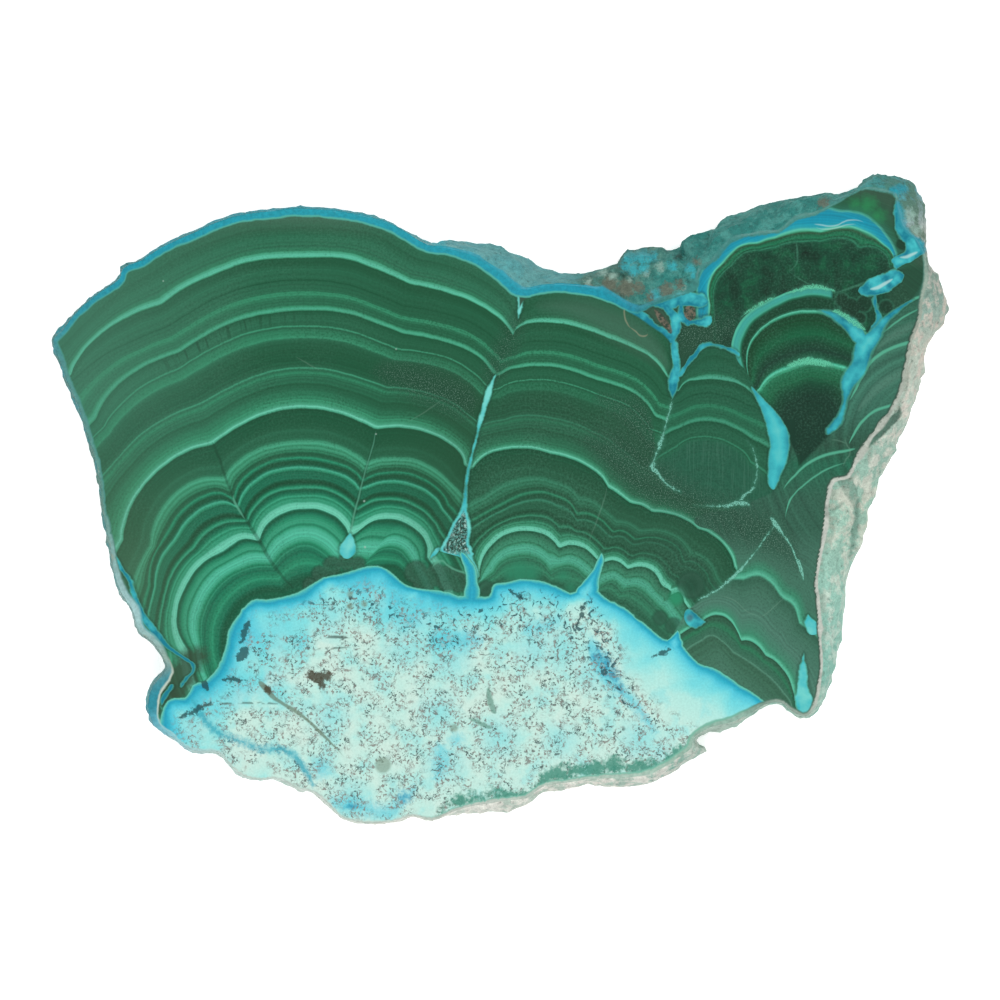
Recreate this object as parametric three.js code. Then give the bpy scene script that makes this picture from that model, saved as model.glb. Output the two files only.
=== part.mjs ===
// A slice sawn from a malachite nodule, lying on its sawn back. Above is the polished flat face,
// below the flat back, and all round between them the nodule's own lumpy rind, which leans out
// below the face where the saw cut the nodule at a slant. Millimetres, +Z up, the origin under the
// middle of the slice on the plane of its back.

import * as THREE from "three";
import { LoftGeometry } from "three/addons/geometries/LoftGeometry.js";
import { ImprovedNoise } from "three/addons/math/ImprovedNoise.js";

// Driving dimensions.
const THICKNESS = 9;
const BELLY_HEIGHT = 2.2;
const BACK_TUCK = 0.6;
const UPRIGHT_SETBACK = 0.4;
const FACE_CLEARANCE = 0.15;

// The rind's relief: broad rounded lumps where it leans out far, small knobs where it stands upright.
const LUMP_SIZE = 6;
const LUMP_HEIGHT = 1.5;
const KNOB_SIZE = 2.4;
const KNOB_HEIGHT = 0.5;
const WIDE_LEAN = 6;

// How finely the loft is cut.
const COLUMNS_PER_STATION = 3;
const ROWS_TO_BELLY = 6;
const ROWS_TO_BACK = 2;

const STONE_GREEN = 0x2f7659;
const POLISH_ROUGHNESS = 0.3;

// The rim as stations, clockwise seen from above: [x, y] of the widest line, and where the rind
// leans out, [x, y, face x, face y] with the edge of the polished face above that point.
const CREST = [
  [-70.2, 25], [-68.8, 26.6], [-66.6, 29.4], [-63, 32.5], [-59.8, 34.8], [-59.2, 36.4],
  [-56.1, 37.8], [-53.1, 39.8], [-47.5, 42.3], [-42.2, 44.5], [-37.5, 45.3], [-31.2, 45.9],
  [-23.4, 45.2], [-18.1, 43.9], [-14.1, 41.9], [-11.2, 40.2],
];
const UPPER_SHOULDER = [
  [-7.8, 40.5, -8.4, 39.5], [-1.6, 39.7, -3.4, 37.8], [3.1, 38.4, 0, 35.5], [7, 36.4, 3, 33],
  [9.1, 35.2, 7, 33.6], [14.4, 35.9, 11.7, 33.6], [18.3, 37.3, 15.6, 32.7], [20, 39.2, 18.8, 31.2],
  [23.4, 39.8, 21.6, 29.7], [26.2, 39.5, 24.2, 30.8], [28.3, 39.1, 27.8, 31.9],
  [29.7, 40.5, 30.6, 33.1], [32.5, 42, 31.1, 35.6], [35.5, 44.5, 34.1, 38], [38.3, 45.5, 35.8, 40.2],
  [42.2, 46.7, 39.1, 41.4], [46.6, 47.8, 43.6, 42], [49.2, 48, 46.1, 43.9], [51.6, 48.4, 48.8, 44.5],
  [53.1, 48.1, 50.9, 45.6], [55.9, 49.1, 53.9, 47.3], [57.5, 50.5, 57.2, 48.8],
];
const RIGHT_HORN = [
  [59.1, 50.8, 59.4, 48.4], [63, 50.3, 61.7, 47.8], [65.6, 48.4, 62.3, 45.3], [66.7, 45, 63, 42.8],
  [67, 41.4, 64.8, 41.1], [66.9, 37.5, 66.4, 38.3], [68.4, 35.2, 66.7, 34.8], [70, 31.2, 65.9, 31.6],
];
const RIGHT_SIDE = [
  [69.2, 27.8, 65.5, 28.4], [67.3, 24.2, 64.1, 24.5], [66.1, 20, 63.3, 20.3], [65, 15.6, 62, 15.6],
  [62.5, 9.7, 59.1, 11.4], [60.2, 4.4, 55.9, 6.9], [58.1, 0.8, 54.4, 3.6], [57.2, -1.2, 52, 3],
  [56.6, -3.9, 51.1, 0], [55.8, -7.5, 50.6, -5.5], [54.7, -12.2, 49.4, -12], [54.2, -16.4, 49.7, -16.4],
  [53.6, -21.9, 50, -21.9], [52.5, -25.6, 50.3, -25], [51.4, -29.7, 49.7, -29.7], [49.7, -33, 48.9, -32.7],
];
const FOOT = [
  [47.8, -34.2], [45.6, -33.4], [43.8, -32], [41.6, -32.3], [39.1, -34.1, 39.4, -33.1],
  [35.9, -35.9, 36.4, -34.5], [31.7, -36.7, 32.5, -35.6], [30.8, -37.7, 30.2, -37.2],
  [32.3, -39.4, 29.7, -38.6], [29.7, -40.9, 27.8, -40.2], [25.8, -43.3, 25, -41.9],
  [21.9, -44.7, 21.1, -43.1], [17.2, -45, 16.9, -43.3], [13.8, -44.5, 13.4, -43.6],
  [9.4, -45.5, 9.7, -44.2], [6.7, -45.8, 7, -44.5], [3.9, -48.1, 4.1, -46.4], [0, -48.8, 0, -46.9],
  [-4.7, -49.1, -4.7, -47.8], [-7.8, -49.5, -7.8, -48.8], [-10.6, -50.3], [-13.6, -49.7],
  [-15.6, -50.3], [-19.5, -50.8], [-24.2, -50.2], [-26.6, -48.3], [-29.1, -45.9], [-31.7, -45.5],
  [-34.4, -43.9], [-39.1, -43.9], [-42.2, -42], [-44.1, -39.8], [-48.1, -39.5], [-51.6, -37.3],
];
const LEFT_EDGE = [
  [-54.4, -35.3], [-55.3, -32.3], [-54.7, -29.1], [-52.5, -26.4], [-52.7, -25.2], [-54.7, -22.3],
  [-56.6, -20.9], [-57.8, -17.2], [-59.5, -14.7], [-60.8, -10.6], [-61.4, -6.6], [-62.3, -2.3],
  [-62.8, 2.3], [-63.6, 6.2], [-64.8, 10], [-66.2, 14.4], [-67.8, 18], [-69.2, 21.9],
];
const STATIONS = [...CREST, ...UPPER_SHOULDER, ...RIGHT_HORN, ...RIGHT_SIDE, ...FOOT, ...LEFT_EDGE];

// A smooth closed line through points given in plan.
function closedLine(points) {
  return new THREE.CatmullRomCurve3(points, true, "centripetal");
}

// The direction straight out of a line that runs clockwise, at a share of the way round it.
function outwardAt(line, share) {
  const along = line.getTangent(share);
  return new THREE.Vector3(-along.y, along.x, 0);
}

// Where a station gives no edge of its own, the polished face ends just inside the rim.
function faceEdge(station, rimLine, index) {
  if (station.length === 4) {
    return new THREE.Vector3(station[2], station[3], 0);
  }
  const inward = outwardAt(rimLine, index / STATIONS.length).multiplyScalar(-UPRIGHT_SETBACK);
  return new THREE.Vector3(station[0], station[1], 0).add(inward);
}

const rimLine = closedLine(STATIONS.map(([x, y]) => new THREE.Vector3(x, y, 0)));
const faceLine = closedLine(STATIONS.map((station, index) => faceEdge(station, rimLine, index)));
const noise = new ImprovedNoise();

// Rounded knobs with sharp creases between them, from about -0.5 in a crease to about 1 on top.
function knobs(point, size) {
  const wave = noise.noise(point.x / size, point.y / size, point.z / size);
  return 2 * Math.abs(wave) - 0.5;
}

// The rind's profile from the face's edge, over the belly, to the back: how far out from the edge
// towards the rim, how high, how far tucked in again, and how much its surface points up.
function profileAt(row) {
  if (row <= ROWS_TO_BELLY) {
    const turn = (row / ROWS_TO_BELLY) * (Math.PI / 2);
    const height = BELLY_HEIGHT + (THICKNESS - BELLY_HEIGHT) * Math.cos(turn);
    return { out: Math.sin(turn), height, tuck: 0, up: Math.cos(turn) };
  }
  const under = (row - ROWS_TO_BELLY) / ROWS_TO_BACK;
  return { out: 1, height: BELLY_HEIGHT * (1 - under), tuck: BACK_TUCK * under ** 2, up: 0 };
}

// One point of the rind. Its relief fades out at the face's edge and at the back, which stay flat,
// and no lump stands above the face.
function rindPoint(share, row) {
  const rim = rimLine.getPoint(share);
  const edge = faceLine.getPoint(share);
  const outward = outwardAt(rimLine, share);
  const profile = profileAt(row);
  const point = edge.clone().lerp(rim, profile.out).addScaledVector(outward, -profile.tuck);
  point.z = profile.height;
  const lean = Math.min(1, edge.distanceTo(rim) / WIDE_LEAN);
  const relief = LUMP_HEIGHT * lean * knobs(point, LUMP_SIZE) + KNOB_HEIGHT * knobs(point, KNOB_SIZE);
  const fade = Math.sin((Math.PI * row) / (ROWS_TO_BELLY + ROWS_TO_BACK));
  const direction = outward.clone().setZ(profile.up).normalize();
  point.addScaledVector(direction, relief * fade);
  return point.setZ(Math.min(point.z, THICKNESS - FACE_CLEARANCE * row));
}

// One closed ring of points round the slice.
function rindRing(row) {
  const columns = STATIONS.length * COLUMNS_PER_STATION;
  return Array.from({ length: columns }, (_, column) => rindPoint(column / columns, row));
}

// The solid is lofted from the polished face down to the back, and set over the origin.
function sliceGeometry() {
  const rows = ROWS_TO_BELLY + ROWS_TO_BACK + 1;
  const rings = Array.from({ length: rows }, (_, row) => rindRing(row));
  const geometry = new LoftGeometry(rings, { capStart: true, capEnd: true });
  geometry.computeBoundingBox();
  const middle = geometry.boundingBox.getCenter(new THREE.Vector3());
  return geometry.translate(-middle.x, -middle.y, 0);
}

const stone = new THREE.MeshStandardMaterial({ color: STONE_GREEN, roughness: POLISH_ROUGHNESS });
const slice = new THREE.Mesh(sliceGeometry(), stone);
slice.name = "malachite_slice";

const part = new THREE.Group();
part.add(slice);

export default part;
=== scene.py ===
# %% [markdown]
# # A polished slice of malachite
# The object is one piece of stone: a slice sawn from a malachite nodule, polished on the side that is
# seen and lying on its sawn back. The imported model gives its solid. This lesson refines that solid's
# rind, draws the growth bands and the blue-green chrysocolla on it with shader nodes, and lights it
# softly from the sides, with the camera looking straight down.

# %% The frame
import bisect
import math

import bmesh
import bpy
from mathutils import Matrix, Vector, geometry, kdtree, noise


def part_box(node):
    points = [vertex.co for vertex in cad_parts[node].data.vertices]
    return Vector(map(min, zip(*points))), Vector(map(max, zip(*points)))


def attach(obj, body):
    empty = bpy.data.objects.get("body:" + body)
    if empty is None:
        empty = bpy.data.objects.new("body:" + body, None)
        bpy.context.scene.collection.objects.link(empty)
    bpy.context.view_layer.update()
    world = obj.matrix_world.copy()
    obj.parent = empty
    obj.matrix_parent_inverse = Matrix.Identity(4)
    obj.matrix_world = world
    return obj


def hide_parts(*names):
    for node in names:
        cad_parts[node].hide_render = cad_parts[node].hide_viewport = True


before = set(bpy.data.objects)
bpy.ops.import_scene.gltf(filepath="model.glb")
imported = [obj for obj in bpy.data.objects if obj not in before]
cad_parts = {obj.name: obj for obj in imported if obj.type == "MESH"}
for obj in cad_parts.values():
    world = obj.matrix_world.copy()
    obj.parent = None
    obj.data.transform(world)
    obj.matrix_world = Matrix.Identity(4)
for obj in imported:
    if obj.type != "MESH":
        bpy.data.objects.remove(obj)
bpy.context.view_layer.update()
SLICE = "malachite_slice"
low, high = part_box(SLICE)
MM = 0.001
print("slice, mm:", [round((b - a) / MM, 1) for a, b in zip(low, high)])

# %% [markdown]
# ## The drawing sheet
# Everything on the face is set out on one drawing sheet, as a draughtsman would trace it: 1000 units
# wide and high, x to the right and y down, with 6.4 units to the millimetre. The sheet is also the
# image, so the camera sees exactly one sheet. A long lens keeps the thin slice free of perspective.

# %% Camera
SHEET = 1000
UNITS_PER_MM = 6.4
SHEET_CENTRE = (500, 499)
LENS_MM = 600
SENSOR_MM = 36


def on_sheet(x, y):
    """A point of the drawing sheet, in metres in the slice's frame."""
    return ((x - SHEET_CENTRE[0]) / UNITS_PER_MM * MM, (SHEET_CENTRE[1] - y) / UNITS_PER_MM * MM)


def sheet_of(point):
    """The place on the drawing sheet of a point in metres."""
    return (SHEET_CENTRE[0] + point.x / MM * UNITS_PER_MM, SHEET_CENTRE[1] - point.y / MM * UNITS_PER_MM)


sheet_width = SHEET / UNITS_PER_MM * MM
camera_data = bpy.data.cameras.new("camera")
camera_data.lens = LENS_MM
camera_data.sensor_width = SENSOR_MM
camera_data.clip_end = 20
camera = bpy.data.objects.new("camera", camera_data)
bpy.context.scene.collection.objects.link(camera)
camera.location = (*on_sheet(SHEET / 2, SHEET / 2), high.z + sheet_width * LENS_MM / SENSOR_MM)
bpy.context.scene.camera = camera
print("camera height, m:", round(camera.location.z, 3))

# %% [markdown]
# ## Floor and light
# The floor is plain and white and glows a little, as a light table does, which keeps shadows off it.
# A ring of soft panels hangs around the camera, tilted enough that the flat polish doesn't mirror
# them into the lens, and the sky overhead is dimmer, so the greens stay deep.

# %% Floor, panels and sky
FLOOR_SIZE = 6
PANELS = 6
PANEL_SIZE = 0.9
PANEL_WATTS = 16
PANEL_DISTANCE = 3
PANEL_TILT = math.radians(30)
SKY_STRENGTH = 0.35
FLOOR_GLOW = 0.45


def floor_material():
    """A plain white light table."""
    material = bpy.data.materials.new("pale_floor")
    material.use_nodes = True
    shader = material.node_tree.nodes["Principled BSDF"]
    shader.inputs["Base Color"].default_value = (0.9, 0.9, 0.9, 1)
    shader.inputs["Roughness"].default_value = 0.9
    shader.inputs["Emission Color"].default_value = (1, 1, 1, 1)
    shader.inputs["Emission Strength"].default_value = FLOOR_GLOW
    return material


def make_floor():
    """A wide flat sheet under the slice."""
    bm = bmesh.new()
    bmesh.ops.create_grid(bm, x_segments=1, y_segments=1, size=FLOOR_SIZE / 2)
    mesh = bpy.data.meshes.new("floor")
    bm.to_mesh(mesh)
    bm.free()
    floor = bpy.data.objects.new("floor", mesh)
    bpy.context.scene.collection.objects.link(floor)
    floor.location.z = low.z
    mesh.materials.append(floor_material())


def make_panel(name, place, watts):
    """A square soft panel that faces the slice."""
    data = bpy.data.lights.new(name, "AREA")
    data.size = PANEL_SIZE
    data.energy = watts
    panel = bpy.data.objects.new(name, data)
    bpy.context.scene.collection.objects.link(panel)
    panel.location = place
    panel.rotation_euler = (-Vector(place)).to_track_quat("-Z", "Y").to_euler()


def make_sky():
    """An even white sky."""
    world = bpy.data.worlds.new("sky")
    world.use_nodes = True
    background = world.node_tree.nodes["Background"]
    background.inputs["Color"].default_value = (1, 1, 1, 1)
    background.inputs["Strength"].default_value = SKY_STRENGTH
    bpy.context.scene.world = world


make_floor()
for index in range(PANELS):
    turn = 2 * math.pi * (index + 0.5) / PANELS
    out, up = PANEL_DISTANCE * math.sin(PANEL_TILT), PANEL_DISTANCE * math.cos(PANEL_TILT)
    make_panel(f"panel_{index}", (out * math.cos(turn), out * math.sin(turn), up), PANEL_WATTS)
make_sky()
bpy.context.scene.view_settings.view_transform = "Standard"

# %% [markdown]
# ## The stone's shape
# The solid already has the outline, the flat face and back and the rind's larger lumps. A copy of it
# is welded, its rind is cut finer and given small knobs and grain, its polished edge is eased by a
# tiny bevel, and face and back are scored into a fine grid. The grid carries two numbers for each
# point, which the colours follow: how far in from the edge it lies, and how far inside the core.

# %% Refining the rind
RIND_CUTS = 2
EDGE_EASE = 0.12 * MM
FACE_GRID = 0.7 * MM
FLAT = 1e-6
KNOB_SIZE = 1.9 * MM
KNOB_HEIGHT = 0.32 * MM
GRAIN_SIZE = 0.55 * MM
GRAIN_HEIGHT = 0.1 * MM
SHARP_ANGLE = math.radians(35)


def faces_at(bm, height):
    """The faces that lie flat at a height."""
    return [f for f in bm.faces if all(abs(v.co.z - height) < FLAT for v in f.verts)]


def roughen(bm):
    """Small rounded knobs and grain on the rind, fading out at the face and at the back."""
    bm.normal_update()
    moves = []
    for vert in bm.verts:
        share = (vert.co.z - low.z) / (high.z - low.z)
        fade = min(1, 6 * share * (1 - share))
        knob = abs(noise.noise(vert.co / KNOB_SIZE)) - 0.25
        grain = noise.noise(vert.co / GRAIN_SIZE)
        moves.append(vert.normal * fade * (KNOB_HEIGHT * knob + GRAIN_HEIGHT * grain))
    for vert, move in zip(bm.verts, moves):
        vert.co += move
        vert.co.z = min(max(vert.co.z, low.z), high.z)


def score(bm, faces):
    """Cuts flat faces into a square grid, line by line."""
    geom = list({e for f in faces for e in (f, *f.edges, *f.verts)})
    for axis in (0, 1):
        across = Vector((axis == 0, axis == 1, 0))
        lines = int((high[axis] - low[axis]) / FACE_GRID)
        for line in range(1, lines):
            at = across * (low[axis] + line * FACE_GRID)
            geom = bmesh.ops.bisect_plane(bm, geom=geom, dist=FLAT, plane_co=at, plane_no=across)["geom"]
    return geom


def refined_slice():
    """A finer copy of the solid, and its points along the edges of the face and of the back."""
    bm = bmesh.new()
    bm.from_mesh(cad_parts[SLICE].data)
    bmesh.ops.remove_doubles(bm, verts=bm.verts, dist=FLAT)
    for height in (low.z, high.z):
        bmesh.ops.dissolve_faces(bm, faces=faces_at(bm, height))
    rind = [f for f in bm.faces if len(f.verts) == 3]
    bmesh.ops.join_triangles(
        bm, faces=rind, angle_face_threshold=math.pi, angle_shape_threshold=math.pi
    )
    bmesh.ops.subdivide_edges(bm, edges=bm.edges[:], cuts=RIND_CUTS, use_grid_fill=True)
    roughen(bm)
    face = faces_at(bm, high.z)
    bmesh.ops.bevel(
        bm, geom=list({e for f in face for e in f.edges}), offset=EDGE_EASE, affect="EDGES",
        segments=2, profile=0.5, material=-1,
    )
    flats = [max(faces_at(bm, height), key=lambda f: len(f.verts)) for height in (low.z, high.z)]
    edge_points = [v.co.copy() for f in flats for v in f.verts]
    score(bm, flats)
    bmesh.ops.dissolve_degenerate(bm, dist=FLAT, edges=bm.edges[:])
    flats = set(faces_at(bm, low.z) + faces_at(bm, high.z))
    for f in bm.faces:
        f.smooth = f not in flats
    for e in bm.edges:
        e.smooth = not (len(e.link_faces) == 2 and e.calc_face_angle(0) > SHARP_ANGLE)
    mesh = bpy.data.meshes.new("stone")
    bm.to_mesh(mesh)
    bm.free()
    return mesh, edge_points


stone_mesh, edge_points = refined_slice()
stone = bpy.data.objects.new("stone", stone_mesh)
bpy.context.scene.collection.objects.link(stone)
stone_mesh.calc_loop_triangles()
print("stone triangles:", len(stone_mesh.loop_triangles))

# %% [markdown]
# ## How far from the edge and from the core
# The core is the pale blue-green middle of the nodule. Its contact with the malachite is traced on
# the sheet as a smooth line, and a search tree then gives each point its distance from that line and
# from the edge. A shader can't search, so the distances are kept on the mesh.

# %% Distances kept on the mesh
CONTACT = [
    (156, 752), (160, 728), (163, 712), (168, 702), (176, 699), (186, 698), (195, 685), (205, 682),
    (213, 675), (219, 667), (225, 652), (228, 640), (229, 632), (236, 620), (248, 605), (256, 600),
    (267, 600.5), (286, 597), (299, 593), (311, 586), (326, 578), (345, 574), (364, 568), (378, 567),
    (389, 572), (403, 584), (416, 589), (433, 591), (449, 593), (458, 597), (468, 596), (478, 597),
    (486, 598), (491, 595), (495, 585), (507, 583.5), (522, 580), (541, 582), (553, 586), (562, 590),
    (570, 594), (580, 591), (590, 589), (597, 591), (604, 598), (620, 606), (633, 615), (647, 627),
    (660, 638), (668, 641), (678, 642), (689, 655), (700, 665), (714, 669), (727, 677), (740, 686),
    (750, 692), (766, 703.5), (790, 722),
]
LINE_STEPS = 12


def smooth_line(points):
    """Close-set places on the sheet along a smooth line through traced points."""
    traced = [Vector((x, y, 0)) for x, y in points]
    ends = [traced[0], *traced, traced[-1]]
    line = []
    for before, start, end, after in zip(ends, ends[1:], ends[2:], ends[3:]):
        handles = start + (end - before) / 6, end - (after - start) / 6
        line += geometry.interpolate_bezier(start, *handles, end, LINE_STEPS)
    return line


def nearest_tree(points):
    """A search tree over points."""
    tree = kdtree.KDTree(len(points))
    for index, point in enumerate(points):
        tree.insert(point, index)
    tree.balance()
    return tree


def keep_on_points(mesh, name, values):
    """Keeps one number for each point of a mesh."""
    mesh.attributes.new(name, "FLOAT", "POINT").data.foreach_set("value", values)


def edge_depths(mesh):
    """Sheet units in from the edge of the face or of the back, and none on the rind."""
    tree = nearest_tree(edge_points)
    flat = [min(abs(v.co.z - low.z), abs(v.co.z - high.z)) < FLAT for v in mesh.vertices]
    return [tree.find(v.co)[2] / MM * UNITS_PER_MM * on_flat for v, on_flat in zip(mesh.vertices, flat)]


def core_depths(mesh):
    """Sheet units inside the contact line, negative in the malachite."""
    line = smooth_line(CONTACT)
    tree = nearest_tree(line)
    across = [point.x for point in line]
    depths = []
    for vert in mesh.vertices:
        place = Vector((*sheet_of(vert.co), 0))
        beside = line[min(bisect.bisect(across, place.x), len(line) - 1)]
        side = 1 if place.y > beside.y and place.x > across[0] else -1
        depths.append(side * tree.find(place)[2])
    return depths


keep_on_points(stone_mesh, "edge_depth", edge_depths(stone_mesh))
keep_on_points(stone_mesh, "core_depth", core_depths(stone_mesh))
print("points with distances:", len(stone_mesh.vertices))

# %% [markdown]
# ## Expressions that become nodes
# A shader of this size is easier to read as sums than as a web of wires. One small class wraps a
# socket: an operator between wires and numbers adds a Math node, and one method adds any other node.

# %% A wire that does sums
def set_stops(ramp, stops):
    """Gives a colour ramp its stops, in order."""
    while len(ramp.elements) < len(stops):
        ramp.elements.new(1)
    for element, (position, colour) in zip(ramp.elements, stops):
        element.position = position
        element.color = colour


def set_curve(mapping, points):
    """Gives a float curve its (place, value, is a cusp) points, in order, held level past its ends."""
    curve = mapping.curves[0]
    curve.points[0].location = points[0][:2]
    curve.points[1].location = points[-1][:2]
    for place, value, _ in points[1:-1]:
        curve.points.new(place, value)
    for point, (_, _, cusp) in zip(curve.points, points):
        point.handle_type = "VECTOR" if cusp else "AUTO"
    mapping.extend = "HORIZONTAL"
    mapping.update()


class Wire:
    """A socket of the stone's shader. Operators between wires and numbers add Math nodes."""

    tree = None

    def __init__(self, socket):
        self.socket = socket

    @classmethod
    def node(cls, kind, settings, sockets, output=0):
        """Adds a node: its settings first, then the values or links of its sockets."""
        made = cls.tree.nodes.new(kind if kind.startswith("NodeGroup") else "ShaderNode" + kind)
        for name, value in settings.items():
            if name == "stops":
                set_stops(made.color_ramp, value)
            elif name == "curve":
                set_curve(made.mapping, value)
            else:
                setattr(made, name, value)
        for key, value in sockets.items():
            if isinstance(value, Wire):
                cls.tree.links.new(value.socket, made.inputs[key])
            else:
                made.inputs[key].default_value = value
        return cls(made.outputs[output]) if made.outputs else None

    @classmethod
    def sum(cls, operation, *values, clamp=False):
        """One Math node on wires or numbers."""
        return cls.node("Math", {"operation": operation, "use_clamp": clamp}, dict(enumerate(values)))

    def __add__(self, other):
        return self.sum("ADD", self, other)

    def __sub__(self, other):
        return self.sum("SUBTRACT", self, other)

    def __rsub__(self, other):
        return self.sum("SUBTRACT", other, self)

    def __mul__(self, other):
        return self.sum("MULTIPLY", self, other)

    def __truediv__(self, other):
        return self.sum("DIVIDE", self, other)

    def __abs__(self):
        return self.sum("ABSOLUTE", self)

    __radd__ = __add__
    __rmul__ = __mul__

    def times_plus(self, factor, addend, clamp=False):
        """This wire times a factor plus an addend, in one node."""
        return self.sum("MULTIPLY_ADD", self, factor, addend, clamp=clamp)

    def least(self, other):
        """The lower of two."""
        return self.sum("MINIMUM", self, other)

    def most(self, other):
        """The higher of two."""
        return self.sum("MAXIMUM", self, other)

    def between(self, start, end):
        """0 at start, 1 at end, straight between and held past both."""
        return self.times_plus(1 / (end - start), -start / (end - start), clamp=True)


# %% [markdown]
# ## Colours
# Colours are written as they look in the finished light, from 0 to 255, and worked back to what the
# stone must be painted: the light is a little brighter than one and the polish adds a thin grey veil.

# %% Paint
LIGHT_GAIN = 1.3
GLOSS = 0.25
POLISH, CHALKY = 0.28, 0.8
POLISH_VEIL = 0.012
DARKEST = 0.002


def linear(level):
    """A display level from 0 to 255 as linear light."""
    share = level / 255
    return share / 12.92 if share <= 0.04045 else ((share + 0.055) / 1.055) ** 2.4


def paint(red, green, blue):
    """The base colour that looks like this in the light."""
    return (*(max(DARKEST, (linear(c) - POLISH_VEIL) / LIGHT_GAIN) for c in (red, green, blue)), 1)


def mix(below, above, mask):
    """One colour laid over another through a mask."""
    return Wire.node("Mix", {"data_type": "RGBA"}, {0: mask, 6: below, 7: above}, output=2)


def tint(colour, light):
    """A colour made lighter or darker by a wire around 1."""
    grey = Wire.node("CombineColor", {}, {0: light, 1: light, 2: light})
    settings = {"data_type": "RGBA", "blend_type": "MULTIPLY"}
    return Wire.node("Mix", settings, {0: 1, 6: colour, 7: grey}, output=2)


def ramp(along, start, end, stops):
    """A colour that changes along a wire, from (place, paint) stops."""
    shares = [((at - start) / (end - start), colour) for at, colour in stops]
    return Wire.node("ValToRGB", {"stops": shares}, {0: along.between(start, end)})


def grain(place, scale, detail=2, roughness=0.5, warp=0):
    """Soft noise around 0.5, at a scale per sheet unit."""
    sockets = {"Vector": place, "Scale": scale, "Detail": detail, "Roughness": roughness, "Distortion": warp}
    return Wire.node("TexNoise", {"noise_dimensions": "2D"}, sockets)


# %% [markdown]
# ## The place on the sheet
# Each shaded point is looked up on the drawing sheet from its own place in the stone, so the bands
# run down through the stone and show on its sawn back as well. A slight wobble keeps lines natural.

# %% Reading the sheet
WOBBLE_SCALE = 0.07
WOBBLE = 1.1


class Sheet:
    """Where the shaded point lies on the drawing sheet, its height in mm, and the stone's grain there."""

    def __init__(self):
        here = Wire.node("TexCoord", {}, {}, output="Object")
        scale = (UNITS_PER_MM / MM, -UNITS_PER_MM / MM, 1 / MM)
        centre = (*SHEET_CENTRE, 0)
        self.spot = Wire.node("VectorMath", {"operation": "MULTIPLY_ADD"}, {0: here, 1: scale, 2: centre})
        x, y, self.height = (Wire.node("SeparateXYZ", {}, {0: self.spot}, output=axis) for axis in range(3))
        wobble = Wire.node(
            "TexNoise", {"noise_dimensions": "2D"},
            {"Vector": self.spot, "Scale": WOBBLE_SCALE, "Detail": 1}, output="Color",
        )
        shift = [Wire.node("SeparateColor", {}, {0: wobble}, output=axis) for axis in range(2)]
        self.x = shift[0].times_plus(WOBBLE, x) - WOBBLE / 2
        self.y = shift[1].times_plus(WOBBLE, y) - WOBBLE / 2
        self.flat = Wire.node("CombineXYZ", {}, {0: self.x, 1: self.y})
        even = (1, 1, UNITS_PER_MM)
        self.solid = Wire.node("VectorMath", {"operation": "MULTIPLY"}, {0: self.spot, 1: even})
        self.specks = grain(self.flat, 0.45, detail=2, roughness=0.7)
        self.cloud = grain(self.flat, 0.02)
        self.broken = grain(self.flat, 0.22, detail=3, roughness=0.7)
        self.blue = grain(self.flat, 0.06, detail=3)
        self.dust = grain(self.flat, 0.85, detail=1, roughness=0.6)

    def axes(self, name):
        """The two axes, the one that a line runs along first."""
        return (self.x, self.y) if name == "x" else (self.y, self.x)


# %% [markdown]
# ## Growth bands
# Malachite grows outwards in lobes, layer on layer, and each layer keeps one shade wherever it is
# met. So the bands are drawn as the stone grew. Three growths of the same layers met in this stone, and
# smaller ones lie at the foot and in the horn. In each, a ring is a line of points traced along one
# layer, kept as a float curve of the bearing seen from the growth's middle, and every ring has its
# depth below the growth's skin. Between two rings the depth is shared out evenly.

# %% Rings traced along the layers
SKIN, MINT, THREAD, SECOND, THIRD, DARK, FOURTH = 0, 39.4, 62.5, 93, 110, 128, 151.5
FIFTH, BROAD, SIXTH, SEVENTH_THREAD, MINT_EDGE, SEVENTH = 190.8, 226, 243, 270.5, 285, 293.5
EIGHTH, INNERMOST = 331, 361

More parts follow.
